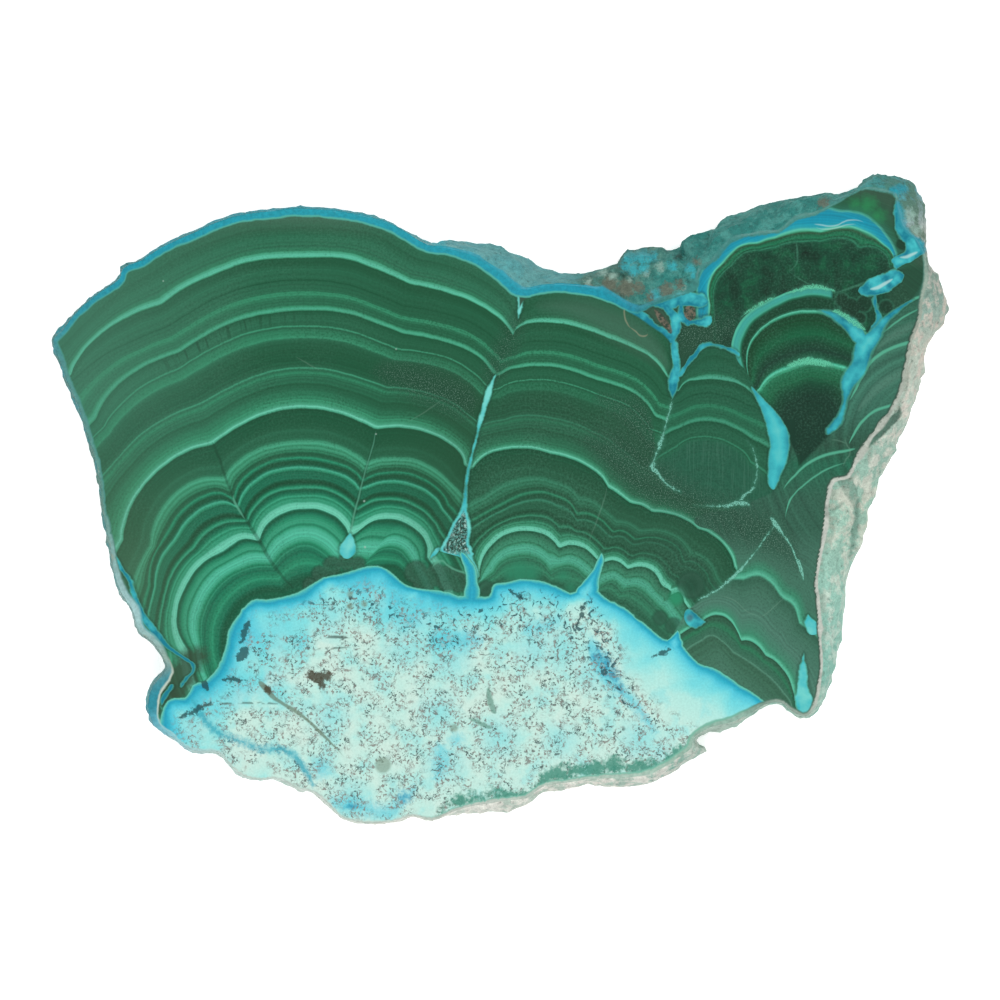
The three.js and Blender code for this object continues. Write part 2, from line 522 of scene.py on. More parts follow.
CREST = {
    SKIN: [
        (62, 336), (80, 319), (98, 300), (127, 275), (162, 254), (210, 231), (242, 221), (300, 216),
        (350, 219), (380, 224), (400, 238), (420, 250), (450, 256), (470, 264), (490, 275), (505, 286),
        (514, 298), (519, 313),
    ],
    MINT: [
        (71, 376), (76, 362), (98, 336), (130, 315), (161, 303.5), (186, 286.5), (218, 272), (250, 261),
        (300, 257), (350, 259), (370, 266), (392, 275), (411, 284), (429, 287), (450, 293), (470, 300),
        (490, 311), (504, 322), (513, 335),
    ],
    THREAD: [
        (82, 372), (106, 354), (130, 342), (167, 327), (186, 315), (218, 297), (250, 286), (300, 280),
        (350, 285), (370, 292), (403, 306), (429, 310), (450, 315), (470, 322), (485, 331), (500, 345),
    ],
    SECOND: [
        (96, 420), (109, 395), (140, 369), (180, 352), (202, 338), (237, 321), (260, 315), (300, 310.5),
        (350, 314), (370, 321), (403, 333.5), (429, 338), (450, 343.5), (470, 351.5), (482, 360),
        (492, 373),
    ],
    THIRD: [
        (104, 428), (114, 413), (146, 385), (178, 370), (202, 355), (234, 339), (260, 331), (300, 327),
        (350, 332), (370, 339), (397, 350), (429, 354), (450, 359.5), (470, 371), (485, 385),
    ],
    FOURTH: [
        (120, 457), (140, 436), (172, 415.5), (202, 404), (234, 386), (274, 371.5), (300, 368.5),
        (328, 370), (350, 375.5), (386, 387.5), (410, 389.5), (429, 394), (450, 402), (470, 417),
    ],
    FIFTH: [
        (123, 540), (125, 524), (138, 494), (165, 465), (189, 450.5), (213, 444), (220, 438.5),
        (249, 421), (274, 411.5), (300, 408), (320, 409), (341, 414), (376, 429), (391, 427.5),
        (408, 428), (429, 433), (453, 446), (460, 453), (464, 465),
    ],
    BROAD: [
        (152, 545), (154, 529), (175, 495), (202, 480), (226, 479), (231, 470), (255, 452), (274, 445.5),
        (300, 442.5), (328, 444.5), (357, 456.5), (366, 464), (379, 460), (395, 459), (413, 460.5),
        (429, 467), (447, 481),
    ],
    SIXTH: [
        (151, 586), (154, 558), (169, 534), (183, 513), (207, 497), (220, 494.5), (235, 502),
        (240, 486.5), (263, 467), (279, 461.5), (300, 459.5), (328, 463), (354, 473), (362, 483),
        (371, 477.5), (384, 474.5), (399, 474), (413, 477), (440, 493), (447, 506),
    ],
    SEVENTH_THREAD: [
        (163, 604), (173, 572), (194, 547), (204, 534), (220, 524), (247, 521), (252, 510), (274, 492),
        (300, 488), (328, 490), (353, 505), (357, 510), (371, 501.5), (384, 499.5), (399, 500),
        (413, 504.5), (434, 521.5), (439, 531),
    ],
    SEVENTH: [
        (190, 650), (178, 627), (177.5, 614), (185, 590), (201, 566), (225, 551.5), (245, 540),
        (260, 542), (265, 529), (287, 513), (305, 510), (320, 511), (342, 524), (349, 538), (355, 535),
        (373, 522), (386, 520), (399, 521.5), (421, 536), (426, 546), (426, 558),
    ],
    EIGHTH: [
        (202, 645), (203, 616), (218, 588), (247, 569), (273, 567), (287, 552), (305, 545.5), (324, 554),
        (332, 563), (350, 562), (366, 563), (371, 557), (377, 552), (384, 549), (391, 548.5),
        (398, 550.5), (404, 555), (409, 562), (413, 572),
    ],
    INNERMOST: [
        (228, 648), (236, 620), (256, 600), (286, 597), (311, 586), (345, 575), (362, 575), (372, 573),
        (382, 570), (391, 569), (398, 572), (404, 581), (433, 591),
    ],
}
SADDLE = {
    SKIN: [
        (519, 313), (522, 306), (529, 299), (540, 293.5), (560, 291.5), (578, 293.5), (614, 307),
        (650, 328.5), (668, 343), (671, 362),
    ],
    MINT: [
        (513, 335), (520, 326), (531, 322.5), (549, 322), (567, 324), (603, 335.5), (639, 350),
        (650, 356.5), (668, 378),
    ],
    SECOND: [
        (500, 376), (509, 370), (524, 367), (542, 366), (560, 368), (596, 379.5), (632, 392),
        (642, 399.5), (656, 418),
    ],
    THIRD: [
        (499, 390), (509, 384), (533, 380.5), (551, 381), (569, 385), (605, 397.5), (623, 404),
        (635, 412), (650, 430),
    ],
    FIFTH: [
        (473, 468), (481, 458.5), (491, 452.5), (506, 449), (522, 448), (538, 449.5), (551, 453.5),
        (567, 457), (594, 470.5), (603, 478.5), (608, 487), (630, 502.5), (644, 506.5), (652, 511.5),
        (664, 512.5), (689, 521.5), (698, 528.5), (709, 532.5), (728, 550), (734, 567),
    ],
    SIXTH: [
        (476, 520), (500, 507), (515, 499), (527, 495), (542, 493.5), (556, 497), (569, 503.5),
        (577, 516), (585, 514.5), (596, 518), (613, 533), (621, 531.5), (635, 540.5), (655, 538.5),
        (676, 547.5), (683, 563), (689, 562), (705, 573.5), (708, 582),
    ],
    MINT_EDGE: [
        (478, 574), (479, 558), (489, 541), (500, 532), (512, 527.5), (525, 526), (540, 527.5),
        (551, 532.5), (560, 543), (566, 540.5), (573, 540), (581, 541.5), (590, 547), (601, 559.5),
        (606, 557.5), (613, 556), (620, 558), (628, 565.5), (636, 562), (645, 562), (656, 567.5),
        (665, 580), (668, 592), (672, 588), (679, 587), (686, 600),
    ],
    SEVENTH: [
        (480, 578), (482, 562), (491, 547), (502, 537.5), (513, 533), (525, 531.5), (538, 533),
        (549, 538), (559, 549), (565, 546.5), (572, 545.5), (581, 547.5), (590, 553), (600, 564),
        (606, 562), (612, 560.5), (619, 562.5), (628, 570), (636, 567.5), (644, 567.5), (654, 573.5),
        (662, 586), (666, 599), (671, 593), (678, 592), (684, 603),
    ],
    EIGHTH: [
        (494, 574), (500, 565), (510, 559.5), (521, 557.5), (531, 558), (541, 562.5), (551, 574),
        (557, 570), (563, 567.5), (569, 567), (576, 570), (584, 577), (597, 590), (604, 585), (611, 582),
        (616, 584), (622, 592), (627, 590), (633, 589), (641, 592), (651, 601), (668, 620),
    ],
    INNERMOST: [
        (494, 585), (522, 580), (541, 582), (568, 594), (590, 592), (620, 606), (647, 627), (668, 641),
    ],
}
DOME = {
    SKIN: [(678, 378), (688, 366), (703, 350), (713, 347), (723, 349), (735, 355), (744, 372)],
    MINT: [(679, 391), (687, 381.5), (698, 379.5), (725, 380), (737, 383), (749, 390), (756, 400)],
    THREAD: [(680, 402), (694, 395), (708, 393), (722, 395), (748, 405)],
    SECOND: [(680, 428), (691, 423), (705, 421), (721, 423), (736, 429), (752, 439)],
    THIRD: [(676, 448), (685, 441), (700, 437.5), (718, 439), (732, 445), (745, 454), (750, 463)],
    DARK: [(681, 459), (689, 453), (701, 450), (716, 451), (728, 456), (738, 464), (743, 471)],
}
FOOT_UPPER, FOOT_LOWER, FOOT_INNER = 0, 50, 80
FOOT = {
    FOOT_UPPER: [
        (742, 577), (744, 577), (758, 573), (769, 578), (781, 593), (784, 596), (793, 602), (798, 612),
        (800, 622),
    ],
    FOOT_LOWER: [
        (702, 622), (708, 616), (720, 614), (731, 620), (738, 632), (741, 640), (750, 640), (758, 645),
        (766, 655), (776, 661), (784, 669), (791, 683), (795, 704),
    ],
    FOOT_INNER: [(702, 640), (712, 635), (722, 641), (733, 652), (750, 662), (775, 682), (790, 700)],
}
CREST_MIDDLE, SADDLE_MIDDLE, DOME_MIDDLE, FOOT_MIDDLE = (305, 640), (565, 690), (715, 530), (740, 720)
BEARING_REACH = 110
LONGEST_RADIUS = 450
LEAST_GAP = 0.5
INSIDE_RATE = 0.25


def seen_from(middle, point):
    """The bearing, in degrees clockwise from straight up the sheet, and the distance of a point."""
    across, up = point[0] - middle[0], middle[1] - point[1]
    return math.degrees(math.atan2(across, up)), math.hypot(across, up)


def turns_in(before, point, after):
    """Whether a line traced clockwise turns inwards at a point, as the cusp between two lobes does."""
    first = (point[0] - before[0], point[1] - before[1])
    second = (after[0] - point[0], after[1] - point[1])
    return first[0] * second[1] - first[1] * second[0] < 0


def ring_radius(bearing, middle, traced):
    """A traced ring's distance from the growth's middle, along a bearing."""
    ends = [traced[0], *traced, traced[-1]]
    points = []
    for before, point, after in zip(ends, ends[1:], ends[2:]):
        angle, radius = seen_from(middle, point)
        share = (angle + BEARING_REACH) / (2 * BEARING_REACH)
        points.append((share, radius / LONGEST_RADIUS, turns_in(before, point, after)))
    return Wire.node("FloatCurve", {"curve": sorted(points)}, {"Value": bearing}) * LONGEST_RADIUS


def growth_depth(sheet, middle, rings, inside_rate=INSIDE_RATE):
    """How deep below the skin a point lies in one growth, and its bearing from the growth's middle."""
    away = Wire.node("VectorMath", {"operation": "SUBTRACT"}, {0: sheet.flat, 1: (*middle, 0)})
    across, down = (Wire.node("SeparateXYZ", {}, {0: away}, output=axis) for axis in range(2))
    radius = Wire.node("VectorMath", {"operation": "LENGTH"}, {0: away}, output=1)
    angle = Wire.sum("ARCTAN2", across, 0 - down)
    bearing = angle.times_plus(math.degrees(1) / (2 * BEARING_REACH), 0.5)
    depth, inside, layer_above = None, None, None
    for layer, traced in rings.items():
        further_in = ring_radius(bearing, middle, traced) - radius
        if depth is None:
            depth = further_in.least(0) + layer
        else:
            gap = (inside - further_in).most(LEAST_GAP)
            share = Wire.sum("DIVIDE", inside, gap, clamp=True)
            depth = share.times_plus(layer - layer_above, depth)
        inside, layer_above = further_in, layer
    return inside.most(0).times_plus(inside_rate, depth), bearing


# %% [markdown]
# ## The shades of the layers
# Fine crystals make a layer pale and coarse ones make it dark. Every layer could have a paint of its
# own, but a list of tones by depth keeps the three large growths alike, and one row of greens turns a
# tone into a paint. A ramp holds only some thirty stops, so the list is shared out over several.

# %% Shades by depth
GREENS = [
    (0, (24, 80, 56)), (0.12, (41, 94, 68)), (0.28, (51, 114, 86)), (0.45, (54, 137, 101)),
    (0.68, (73, 163, 127)), (0.86, (86, 187, 155)), (1, (111, 205, 175)),
]
INNER, CREST_RED, SADDLE_RED = 240, 0.6, 0.95
BANDS = [
    (-12, 0.2), (0, 0.22), (8, 0.22), (12, 0.16), (16, 0.2), (22, 0.29), (28, 0.26), (31, 0.3), (33, 0.4),
    (35.2, 0.74), (37, 0.9), (38.8, 0.9), (39.8, 0.6), (40.8, 0.08), (42.5, 0.13), (46, 0.14), (50, 0.22),
    (52.5, 0.32), (55, 0.23), (60, 0.26), (61.5, 0.18), (62.5, 0.07), (64, 0.24), (69, 0.26), (73, 0.3),
    (74.5, 0.46), (76.5, 0.48), (80, 0.36), (84, 0.29), (87, 0.34), (89, 0.5), (90.8, 0.78), (92.3, 0.66),
    (93.8, 0.08), (97, 0.22), (101, 0.28), (105, 0.28), (107.5, 0.2), (109, 0.6), (110.5, 0.26),
    (113, 0.38), (117, 0.42), (120.6, 0.52), (122.5, 0.25), (126, 0.17), (134, 0.12), (142, 0.1),
    (147, 0.16), (149.5, 0.24), (151, 0.62), (152.5, 0.26), (156, 0.46), (159, 0.3), (163, 0.28),
    (165, 0.32), (166.5, 0.15), (171, 0.24), (175, 0.37), (179, 0.38), (181, 0.5), (184.5, 0.52),
    (187, 0.7), (189, 1), (190.5, 0.75), (192, 0.02), (196, 0.08), (206, 0.1), (211, 0.16), (214.5, 0.27),
    (217, 0.18), (221, 0.24), (223, 0.35), (225, 0.64), (227, 0.7), (229, 0.48), (231, 0.64), (233, 0.38),
    (235, 0.38), (236.5, 0.1), (239, 0.18), (241, 0.5), (242.5, 0.4), (244.5, 0), (247.5, 0.1),
    (249, 0.3), (250.5, 0.78), (252.5, 0.54), (254.5, 0.2), (257, 0.31), (261, 0.28), (263, 0.03),
    (265, 0.01), (267, 0.1), (269, 0.45), (270.5, 0.68), (272.5, 0.08), (275, 0.24), (277, 0.42),
    (279, 0.66), (280.5, 0.42), (282.5, 0.66), (284.5, 0.62), (286.5, 0.98), (290, 1), (291.5, 0.98),
    (293, 0.25), (294.5, 0.06), (297, 0.27), (301, 0.5), (305, 0.68), (307, 0.62), (308.5, 0.38),
    (310.5, 0.6), (313, 0.82), (317, 0.88), (321, 0.84), (325, 0.73), (327.5, 0.46), (330, 0.36),
    (331, 0.62), (332.5, 0.3), (335, 0.3), (338, 0.36), (341, 0.48), (343.5, 0.54), (346, 0.38),
    (349, 0.3), (351.5, 0.17), (354, 0.08), (358, 0.13), (372, 0.15),
]
STOPS_PER_RAMP = 28


def green(tone, depth, inner_red):
    """The malachite green of a tone from 0, nearly black, to 1, pale mint; deep layers have less red."""
    for (start, dark), (end, light) in zip(GREENS, GREENS[1:]):
        if tone <= end:
            share = (tone - start) / (end - start)
            red, *rest = (d + share * (e - d) for d, e in zip(dark, light))
            return paint(red * (inner_red + (1 - inner_red) * tone) if depth > INNER else red, *rest)


def band_colour(depth, inner_red):
    """The growth bands' colours, on as many ramps as the shades need."""
    colour = None
    for first in range(0, len(BANDS) - 1, STOPS_PER_RAMP):
        shades = BANDS[first:first + STOPS_PER_RAMP + 1]
        start, end = shades[0][0], shades[-1][0]
        part = ramp(depth, start, end, [(at, green(tone, at, inner_red)) for at, tone in shades])
        colour = part if colour is None else mix(colour, part, Wire.sum("GREATER_THAN", depth, start))
    return colour


def shaded(depth, shades):
    """Colours of their own, by depth or along an axis."""
    return ramp(depth, shades[0][0], shades[-1][0], [(at, paint(*c)) for at, c in shades])


# %% [markdown]
# ## Veins, lines and spots
# Where lobes drew apart, blue-green chrysocolla filled the gap. A vein is drawn along one axis of the
# sheet: a float curve gives its middle line and a second one its half-width, so a long winding vein
# costs only a handful of nodes. The same curves mark the borders between the growths, and round spots
# join up to nodules and blots.

# %% Drawing along a curve
TAPER = 1


def curve_of(share, points, low_value, high_value, offset=0):
    """A float curve through (share of the way, value) points, as a wire in sheet units."""
    span = max(high_value - low_value, 1e-3)
    shares = [(at, (value - low_value) / span, False) for at, value in points]
    curve = Wire.node("FloatCurve", {"curve": shares}, {"Value": share})
    return curve.times_plus(span, low_value + offset)


def shares_of(values):
    """Places along a line as shares of the way from its first to its last."""
    return [(value - values[0]) / (values[-1] - values[0]) for value in values]


def line_of(share, points):
    """Where a line runs across the axis that it is drawn along."""
    along, across = [p[0] for p in points], [p[1] for p in points]
    return curve_of(share, list(zip(shares_of(along), across)), min(across), max(across))


def past_line(sheet, axis, points, soft=1.5):
    """A mask of what lies beyond a line, to the right of it or below it."""
    along, across = sheet.axes(axis)
    line = line_of(along.between(points[0][0], points[-1][0]), points)
    return (across - line).times_plus(1 / soft, 0.5, clamp=True)


def slanted(points):
    """Half-widths across the axis, from (along, across, half-width) with the width square to the line."""
    widths = []
    for index, (_, _, half) in enumerate(points):
        before, after = points[max(index - 1, 0)], points[min(index + 1, len(points) - 1)]
        slope = (after[1] - before[1]) / (after[0] - before[0])
        widths.append(half * math.hypot(1, slope) + TAPER)
    return [0, *widths[1:-1], 0]


def inside_vein(sheet, axis, points):
    """How far inside a vein a place lies, from (along, across, half-width) points; it tapers at both ends."""
    along, across = sheet.axes(axis)
    start, end = points[0][0], points[-1][0]
    share = along.between(start, end)
    widths = slanted(points)
    shares = shares_of([p[0] for p in points])
    reach = curve_of(share, list(zip(shares, widths)), 0, max(widths), -TAPER)
    past_end = (abs(along - (start + end) / 2) - (end - start) / 2).most(0)
    return reach - abs(across - line_of(share, points)) - past_end


def deepest(sheet, veins):
    """How far inside the nearest of several veins a place lies."""
    inside = None
    for axis, points in veins:
        own = inside_vein(sheet, axis, points)
        inside = own if inside is None else inside.most(own)
    return inside


def in_spots(sheet, spots):
    """How far inside the nearest of several round spots, each (x, y, radius), a place lies."""
    inside = None
    for x, y, radius in spots:
        away = Wire.node("VectorMath", {"operation": "DISTANCE"}, {0: sheet.flat, 1: (x, y, 0)}, output=1)
        own = radius - away
        inside = own if inside is None else inside.most(own)
    return inside


def mask_of(inside, soft=1.2):
    """A soft-edged mask from how far inside a place lies."""
    return inside.times_plus(1 / soft, 0.5, clamp=True)


# %% [markdown]
# ## Wear and veins, wherever they come
# All the green stone has the same fine make-up: thin layers, fibres that cross them like rays, and
# specks. It is dull and dusty where the polish broke up. Veins have a dark margin and a pale mint rim,
# and their blue is cloudy. Most marks are thin washes: a paint, its strength, and a mask of where it lies.

# %% Fine make-up
FIBRES, FIBRE_STRETCH = 300, 0.04
LAYERS = 0.5
LAYER_LIGHT, FIBRE_LIGHT = (0.5, 0.75), (0.14, 0.93)
GRIT = [(paint(92, 140, 118), 0.6, (0.5, 0.85)), (paint(20, 46, 34), 0.9, (0.5, 0.2))]
HAZE = paint(76, 118, 98), 0.08
DEEPENED = 0.2, 0.13
DEEP_GREEN = paint(22, 86, 58)
DULL_PATCH, PALE_GRAINS = (paint(38, 74, 57), 0.6), (paint(126, 164, 146), 0.5)
VEIN_BLUES = [(0.4, (26, 130, 150)), (0.64, (70, 192, 198)), (1, (124, 220, 210))]
VEIN_RIM, VEIN_MARGIN = paint(88, 184, 160), (paint(24, 64, 50), 0.5)
LINE_HALO, LINE_GRAINS = (paint(66, 130, 106), 0.45), 0.85


def wash(colour, painted, mask):
    """A thin wash over a colour, of a paint and its strength, through a mask."""
    tone, strength = painted
    return mix(colour, tone, mask * strength)


def frayed(sheet, inside, amount):
    """How far inside a place lies, with a ragged edge."""
    return inside + sheet.broken.times_plus(amount, -amount / 2)


def layered(along, scale, detail):
    """Noise that changes along one wire alone, as layers do."""
    return Wire.node("TexNoise", {"noise_dimensions": "1D"}, {"W": along, "Scale": scale, "Detail": detail})


def gritty(sheet, colour, strength):
    """Pale dust and dark specks, finer than a layer."""
    for tone, share, levels in GRIT:
        colour = mix(colour, tone, sheet.specks.between(*levels) * (share * strength))
    return colour


def weathered(sheet, colour, depth, bearing, grit):
    """Thin layers, fibres across them and grit, lighter and darker."""
    layers = layered(depth, LAYERS, detail=2)
    rays = Wire.node("CombineXYZ", {}, {0: bearing * FIBRES, 1: depth * FIBRE_STRETCH})
    fibres = grain(rays, 1, detail=2)
    colour = tint(colour, layers.times_plus(*LAYER_LIGHT) * fibres.times_plus(*FIBRE_LIGHT))
    colour = wash(colour, HAZE, sheet.cloud.between(0.45, 0.8))
    return gritty(sheet, colour, sheet.cloud.between(0.25, 0.6).times_plus(0.8, 0.4) * grit)


def deepened(colour, strength):
    """Dark layers darker and greener still, with the bright ones left as they are."""
    dark = Wire.node("SeparateColor", {}, {0: colour}, output="Green").between(*DEEPENED)
    return mix(colour, DEEP_GREEN, dark * strength)


def dusted(sheet, colour, patches):
    """Dull brownish patches with pale grains, where the polish broke up."""
    amount = deepest(sheet, patches).between(-14, 10)
    colour = wash(colour, DULL_PATCH, amount)
    return wash(colour, PALE_GRAINS, sheet.dust.between(0.56, 0.72) * amount)


def veined(sheet, colour, veins, light=0, ragged=4, soft=1.8, cloudy=0.8):
    """Chrysocolla in the gaps between lobes, deep blue to pale as it gets more light."""
    lumpy = sheet.blue.times_plus(ragged, sheet.broken * 2)
    inside = deepest(sheet, veins) + lumpy - (ragged / 2 + 1)
    blue = shaded(sheet.blue.times_plus(cloudy, inside * 0.018) + (light + 0.5 - cloudy / 2), VEIN_BLUES)
    blue = mix(VEIN_RIM, blue, inside.between(-0.4, 1.6))
    colour = wash(colour, VEIN_MARGIN, mask_of(inside + 2, soft=3))
    return mix(colour, blue, mask_of(inside, soft))


def granular(sheet, colour, lines, grains):
    """Broken pale lines of fine grains."""
    inside = deepest(sheet, lines) + sheet.broken.times_plus(6, -3.5)
    colour = wash(colour, LINE_HALO, inside.between(-4, 1))
    return wash(colour, (grains, LINE_GRAINS), mask_of(inside, soft=1.6) * sheet.dust.between(0.34, 0.5))


def lined(sheet, colour, lines, painted):
    """Thin lines of one paint and strength."""
    return wash(colour, painted, mask_of(deepest(sheet, lines), soft=1.6))


def surface(colour, roughness, **others):
    """A shader of the stone, with its own colour and polish."""
    sockets = {"Base Color": colour, "Roughness": roughness, "Specular IOR Level": GLOSS, **others}
    return Wire.node("BsdfPrincipled", {}, sockets)


def over(below, above, mask):
    """One surface laid over another through a mask."""
    return Wire.node("MixShader", {}, {0: mask, 1: below, 2: above})


# %% [markdown]
# ## The crest
# The largest growth fills the left half. Its inner lobes end in dark nodules against the core, a
# drop of chrysocolla hangs between two of them, and dark cusps part them. Ticks cross one pale layer
# like the marks of a ruler, and the saw left a few scratches.

# %% Crest
CREST_SADDLE = [
    (290, 519), (312, 519), (335, 513), (355, 503), (378, 494), (405, 485), (440, 476), (459, 471),
    (470, 468), (505, 465), (535, 466), (575, 473), (600, 473),
]
CLEFT = [
    (374, 496, 1), (378, 494, 1.2), (388, 490, 2.2), (405, 485, 2.9), (423, 480, 2), (440, 476, 1.2),
    (450, 473, 0.6), (459, 471, 0.9), (470, 468, 1.2), (490, 466, 1.7), (505, 464, 2.8), (515, 463, 5),
    (525, 461, 9), (535, 459, 11), (545, 456, 13), (550, 456, 13), (554, 462, 8), (562, 469, 4.5),
    (575, 473, 4.5), (590, 473, 5), (602, 473, 8),
]
CREST_TOP = [(280, 519, 8), (290, 519, 5), (296, 520, 3), (304, 520, 2), (312, 519, 1.4), (320, 518, 1)]
CLEFT_VEINS = [("y", CLEFT), ("y", CREST_TOP)]
CLEFT_PALE_ABOVE, CLEFT_PALE_BELOW = (450, 410), (495, 510)
VOID_DEPTH, VOID_TOP, VOID_FOOT = (2.2, 4.2), (508, 516), (556, 550)
VOID_GREY, VOID_DARK = (paint(84, 118, 104), 0.7), (paint(40, 58, 48), 0.9)
VOID_CRYSTAL = paint(172, 216, 206)
CREST_VEINS = [
    ("y", [(532, 350, 1), (536, 349.5, 2.5), (541, 349, 5), (547, 348, 8), (552, 348, 8.5),
           (556, 347.5, 6), (559, 347, 1)]),
    ("x", [(430, 558, 1), (433, 555, 2), (437, 551, 2), (440, 548, 1)]),
]
CREST_NODULES = [
    (310, 585, 8), (320, 574, 9), (332, 566, 10), (346, 562, 9), (358, 564, 8), (416, 572, 12),
    (424, 582, 12), (436, 575, 12), (447, 578, 13), (459, 582, 11),
]
CUSPS = [
    ("y", [(442, 212, 1), (450, 216, 1.2), (479, 226, 1.2), (494, 232, 1), (521, 247, 1.6), (542, 260, 1.8),
           (560, 270, 1.8), (575, 281, 1.5), (590, 296, 1)]),
    ("y", [(428, 377, 1), (445, 373, 1.2), (465, 367, 1.4), (483, 362, 1.6), (500, 358, 1.8),
           (520, 353, 1.6), (532, 350, 1)]),
]
CREST_THREADS = [
    ("y", [(430, 376, 1), (445, 373, 0.3), (465, 367, 0.3), (483, 362, 0.5), (500, 358, 0.6),
           (520, 353, 0.7), (534, 351, 1)]),
    ("y", [(494, 233, 1), (500, 234, 0.8), (506, 237, 1.1), (513, 241, 0.8), (520, 245, 1)]),
    ("x", [(432, 568, 1), (436, 563, 0.9), (441, 561, 0.9), (447, 565, 0.9), (456, 570, 0.9),
           (466, 573, 0.9), (470, 574, 1)]),
]
SCRATCHES = [
    ("x", [(295, 356, 1), (308, 364, 0.3), (322, 371, 1)]),
    ("x", [(405, 423, 1), (420, 415, 0.3), (432, 407, 0.3), (442, 400, 1)]),
]
CREST_DOTS = [(396, 349, 0.5), (376, 434, 0.5), (364, 501, 0.8), (365, 547, 0.8), (163, 281, 0.5)]
BORDER_DUST = ("y", [
    (318, 516, 1), (330, 512, 3), (345, 506, 5), (358, 500, 6), (370, 496, 5), (380, 492, 1),
])
CREST_DUST = [
    ("x", [(378, 372, 2), (400, 376, 10), (430, 386, 14), (455, 396, 14), (475, 402, 2)]),
    BORDER_DUST,
]
BROWN_FOOT = [(176, 690, 12), (182, 676, 14), (190, 662, 12), (198, 656, 8), (166, 700, 7)]
BROWN_WASH = paint(58, 78, 60), 0.85
TICKS = 260
TICKS_OUTER, TICKS_INNER = (93, 95), (109, 103)
TICKS_START, TICKS_CLEAR, TICKS_FAINT = (150, 175), (300, 215), (340, 300)
TICK_DARK = paint(24, 68, 48), 0.65
DEEPER_RIGHT, DEEPER_OUTER, DEEPER_INNER = (220, 420), (30, 42), (300, 180)
UNDER_SKIN, GREY_START, GREY_END = (18, 0), (170, 280), (400, 330)
GREY_WASH = paint(92, 118, 104), 0.4
# The hazy left part of the crest: partly dust, partly a painted sheen of the polish.
PALE_ACROSS, PALE_UP = (260, 90), (520, 400)
PALE_DUST_AND_SHEEN = paint(88, 142, 120), 0.36
OLIVE_ACROSS, OLIVE_DOWN = (215, 130), (430, 560)
OLIVE_DUST_AND_SHEEN = paint(92, 126, 100), 0.36
MOSS_ACROSS, MOSS_DEPTH = (370, 460), (95, 130)
MOSS_WASH = paint(50, 82, 60), 0.3
CUSP_DARK, CREST_THREAD = (paint(30, 66, 48), 0.45), (paint(96, 172, 142), 0.75)
SCRATCH, CREST_DOT = (paint(120, 160, 138), 0.35), (paint(176, 206, 192), 0.8)
NODULE_SHADES = [(0, (38, 74, 56)), (2.5, (56, 94, 76)), (12, (46, 86, 66))]
NODULES_INNER, NODULES_RIGHT, NODULES_SHOW = (294, 300), (424, 430), 0.8
STRIPES_DARKEN = (600, 635)
LEFT_STRIPES = [
    ("y", [(545, 109, 1), (556, 114, 2), (568, 121, 2.4), (580, 129, 2.6), (592, 133.5, 2.6),
           (604, 138, 2.8), (615, 143, 3), (626, 150, 3.2), (636, 158, 3), (646, 167, 2.2),
           (654, 178, 1.8), (660, 187, 1.8), (665, 193, 2.4), (671, 193, 2.2), (678, 187, 1.8),
           (684, 183, 1.4), (688, 181, 1)]),
    ("y", [(684, 172, 1), (689, 170, 2.4), (694, 166, 2.4), (700, 163, 2), (706, 162, 1)]),
]


def cleft(sheet, colour):
    """The vein between the crest and the saddle: pale above, dark and white crystals in its hollow."""
    pale = sheet.y.between(*CLEFT_PALE_ABOVE) * 0.4 + sheet.y.between(*CLEFT_PALE_BELOW) * 0.25
    colour = veined(sheet, colour, CLEFT_VEINS, light=pale)
    inside = inside_vein(sheet, "y", CLEFT).between(*VOID_DEPTH) * sheet.y.between(*VOID_TOP)
    inside = inside * sheet.y.between(*VOID_FOOT)
    colour = wash(colour, VOID_GREY, inside)
    colour = mix(colour, VOID_CRYSTAL, inside * sheet.broken.between(0.53, 0.63))
    return wash(colour, VOID_DARK, inside * sheet.specks.between(0.58, 0.46))


def crest_bands(sheet, depth, bearing):
    """The left half's bands with their ticks, and the washes that dull them here and there; at the left these
    are partly dust, partly a painted sheen of the polish.
    """
    colour = band_colour(depth, CREST_RED)
    ticks = layered(bearing, TICKS, detail=1).between(0.54, 0.62)
    ticks = ticks * depth.between(*TICKS_OUTER) * depth.between(*TICKS_INNER)
    faint = sheet.x.between(*TICKS_FAINT) * 0.3
    ticks = ticks * sheet.x.between(*TICKS_CLEAR).times_plus(0.7, faint) * sheet.x.between(*TICKS_START)
    colour = wash(colour, TICK_DARK, ticks)
    colour = weathered(sheet, colour, depth, bearing, grit=0.36)
    deeper = sheet.x.between(*DEEPER_RIGHT).times_plus(0.5, 0.1)
    colour = deepened(colour, deeper * depth.between(*DEEPER_OUTER) * depth.between(*DEEPER_INNER))
    near_skin = depth.between(*UNDER_SKIN) * sheet.x.between(*GREY_START) * sheet.x.between(*GREY_END)
    colour = wash(colour, GREY_WASH, near_skin)
    # Pale at the top left and olive at the bottom left: partly dust, partly a painted sheen of the polish.
    colour = wash(colour, PALE_DUST_AND_SHEEN, sheet.x.between(*PALE_ACROSS) * sheet.y.between(*PALE_UP))
    colour = wash(colour, OLIVE_DUST_AND_SHEEN, sheet.x.between(*OLIVE_ACROSS) * sheet.y.between(*OLIVE_DOWN))
    colour = wash(colour, BROWN_WASH, frayed(sheet, in_spots(sheet, BROWN_FOOT), amount=8).between(-6, 4))
    return wash(colour, MOSS_WASH, sheet.x.between(*MOSS_ACROSS) * depth.between(*MOSS_DEPTH))


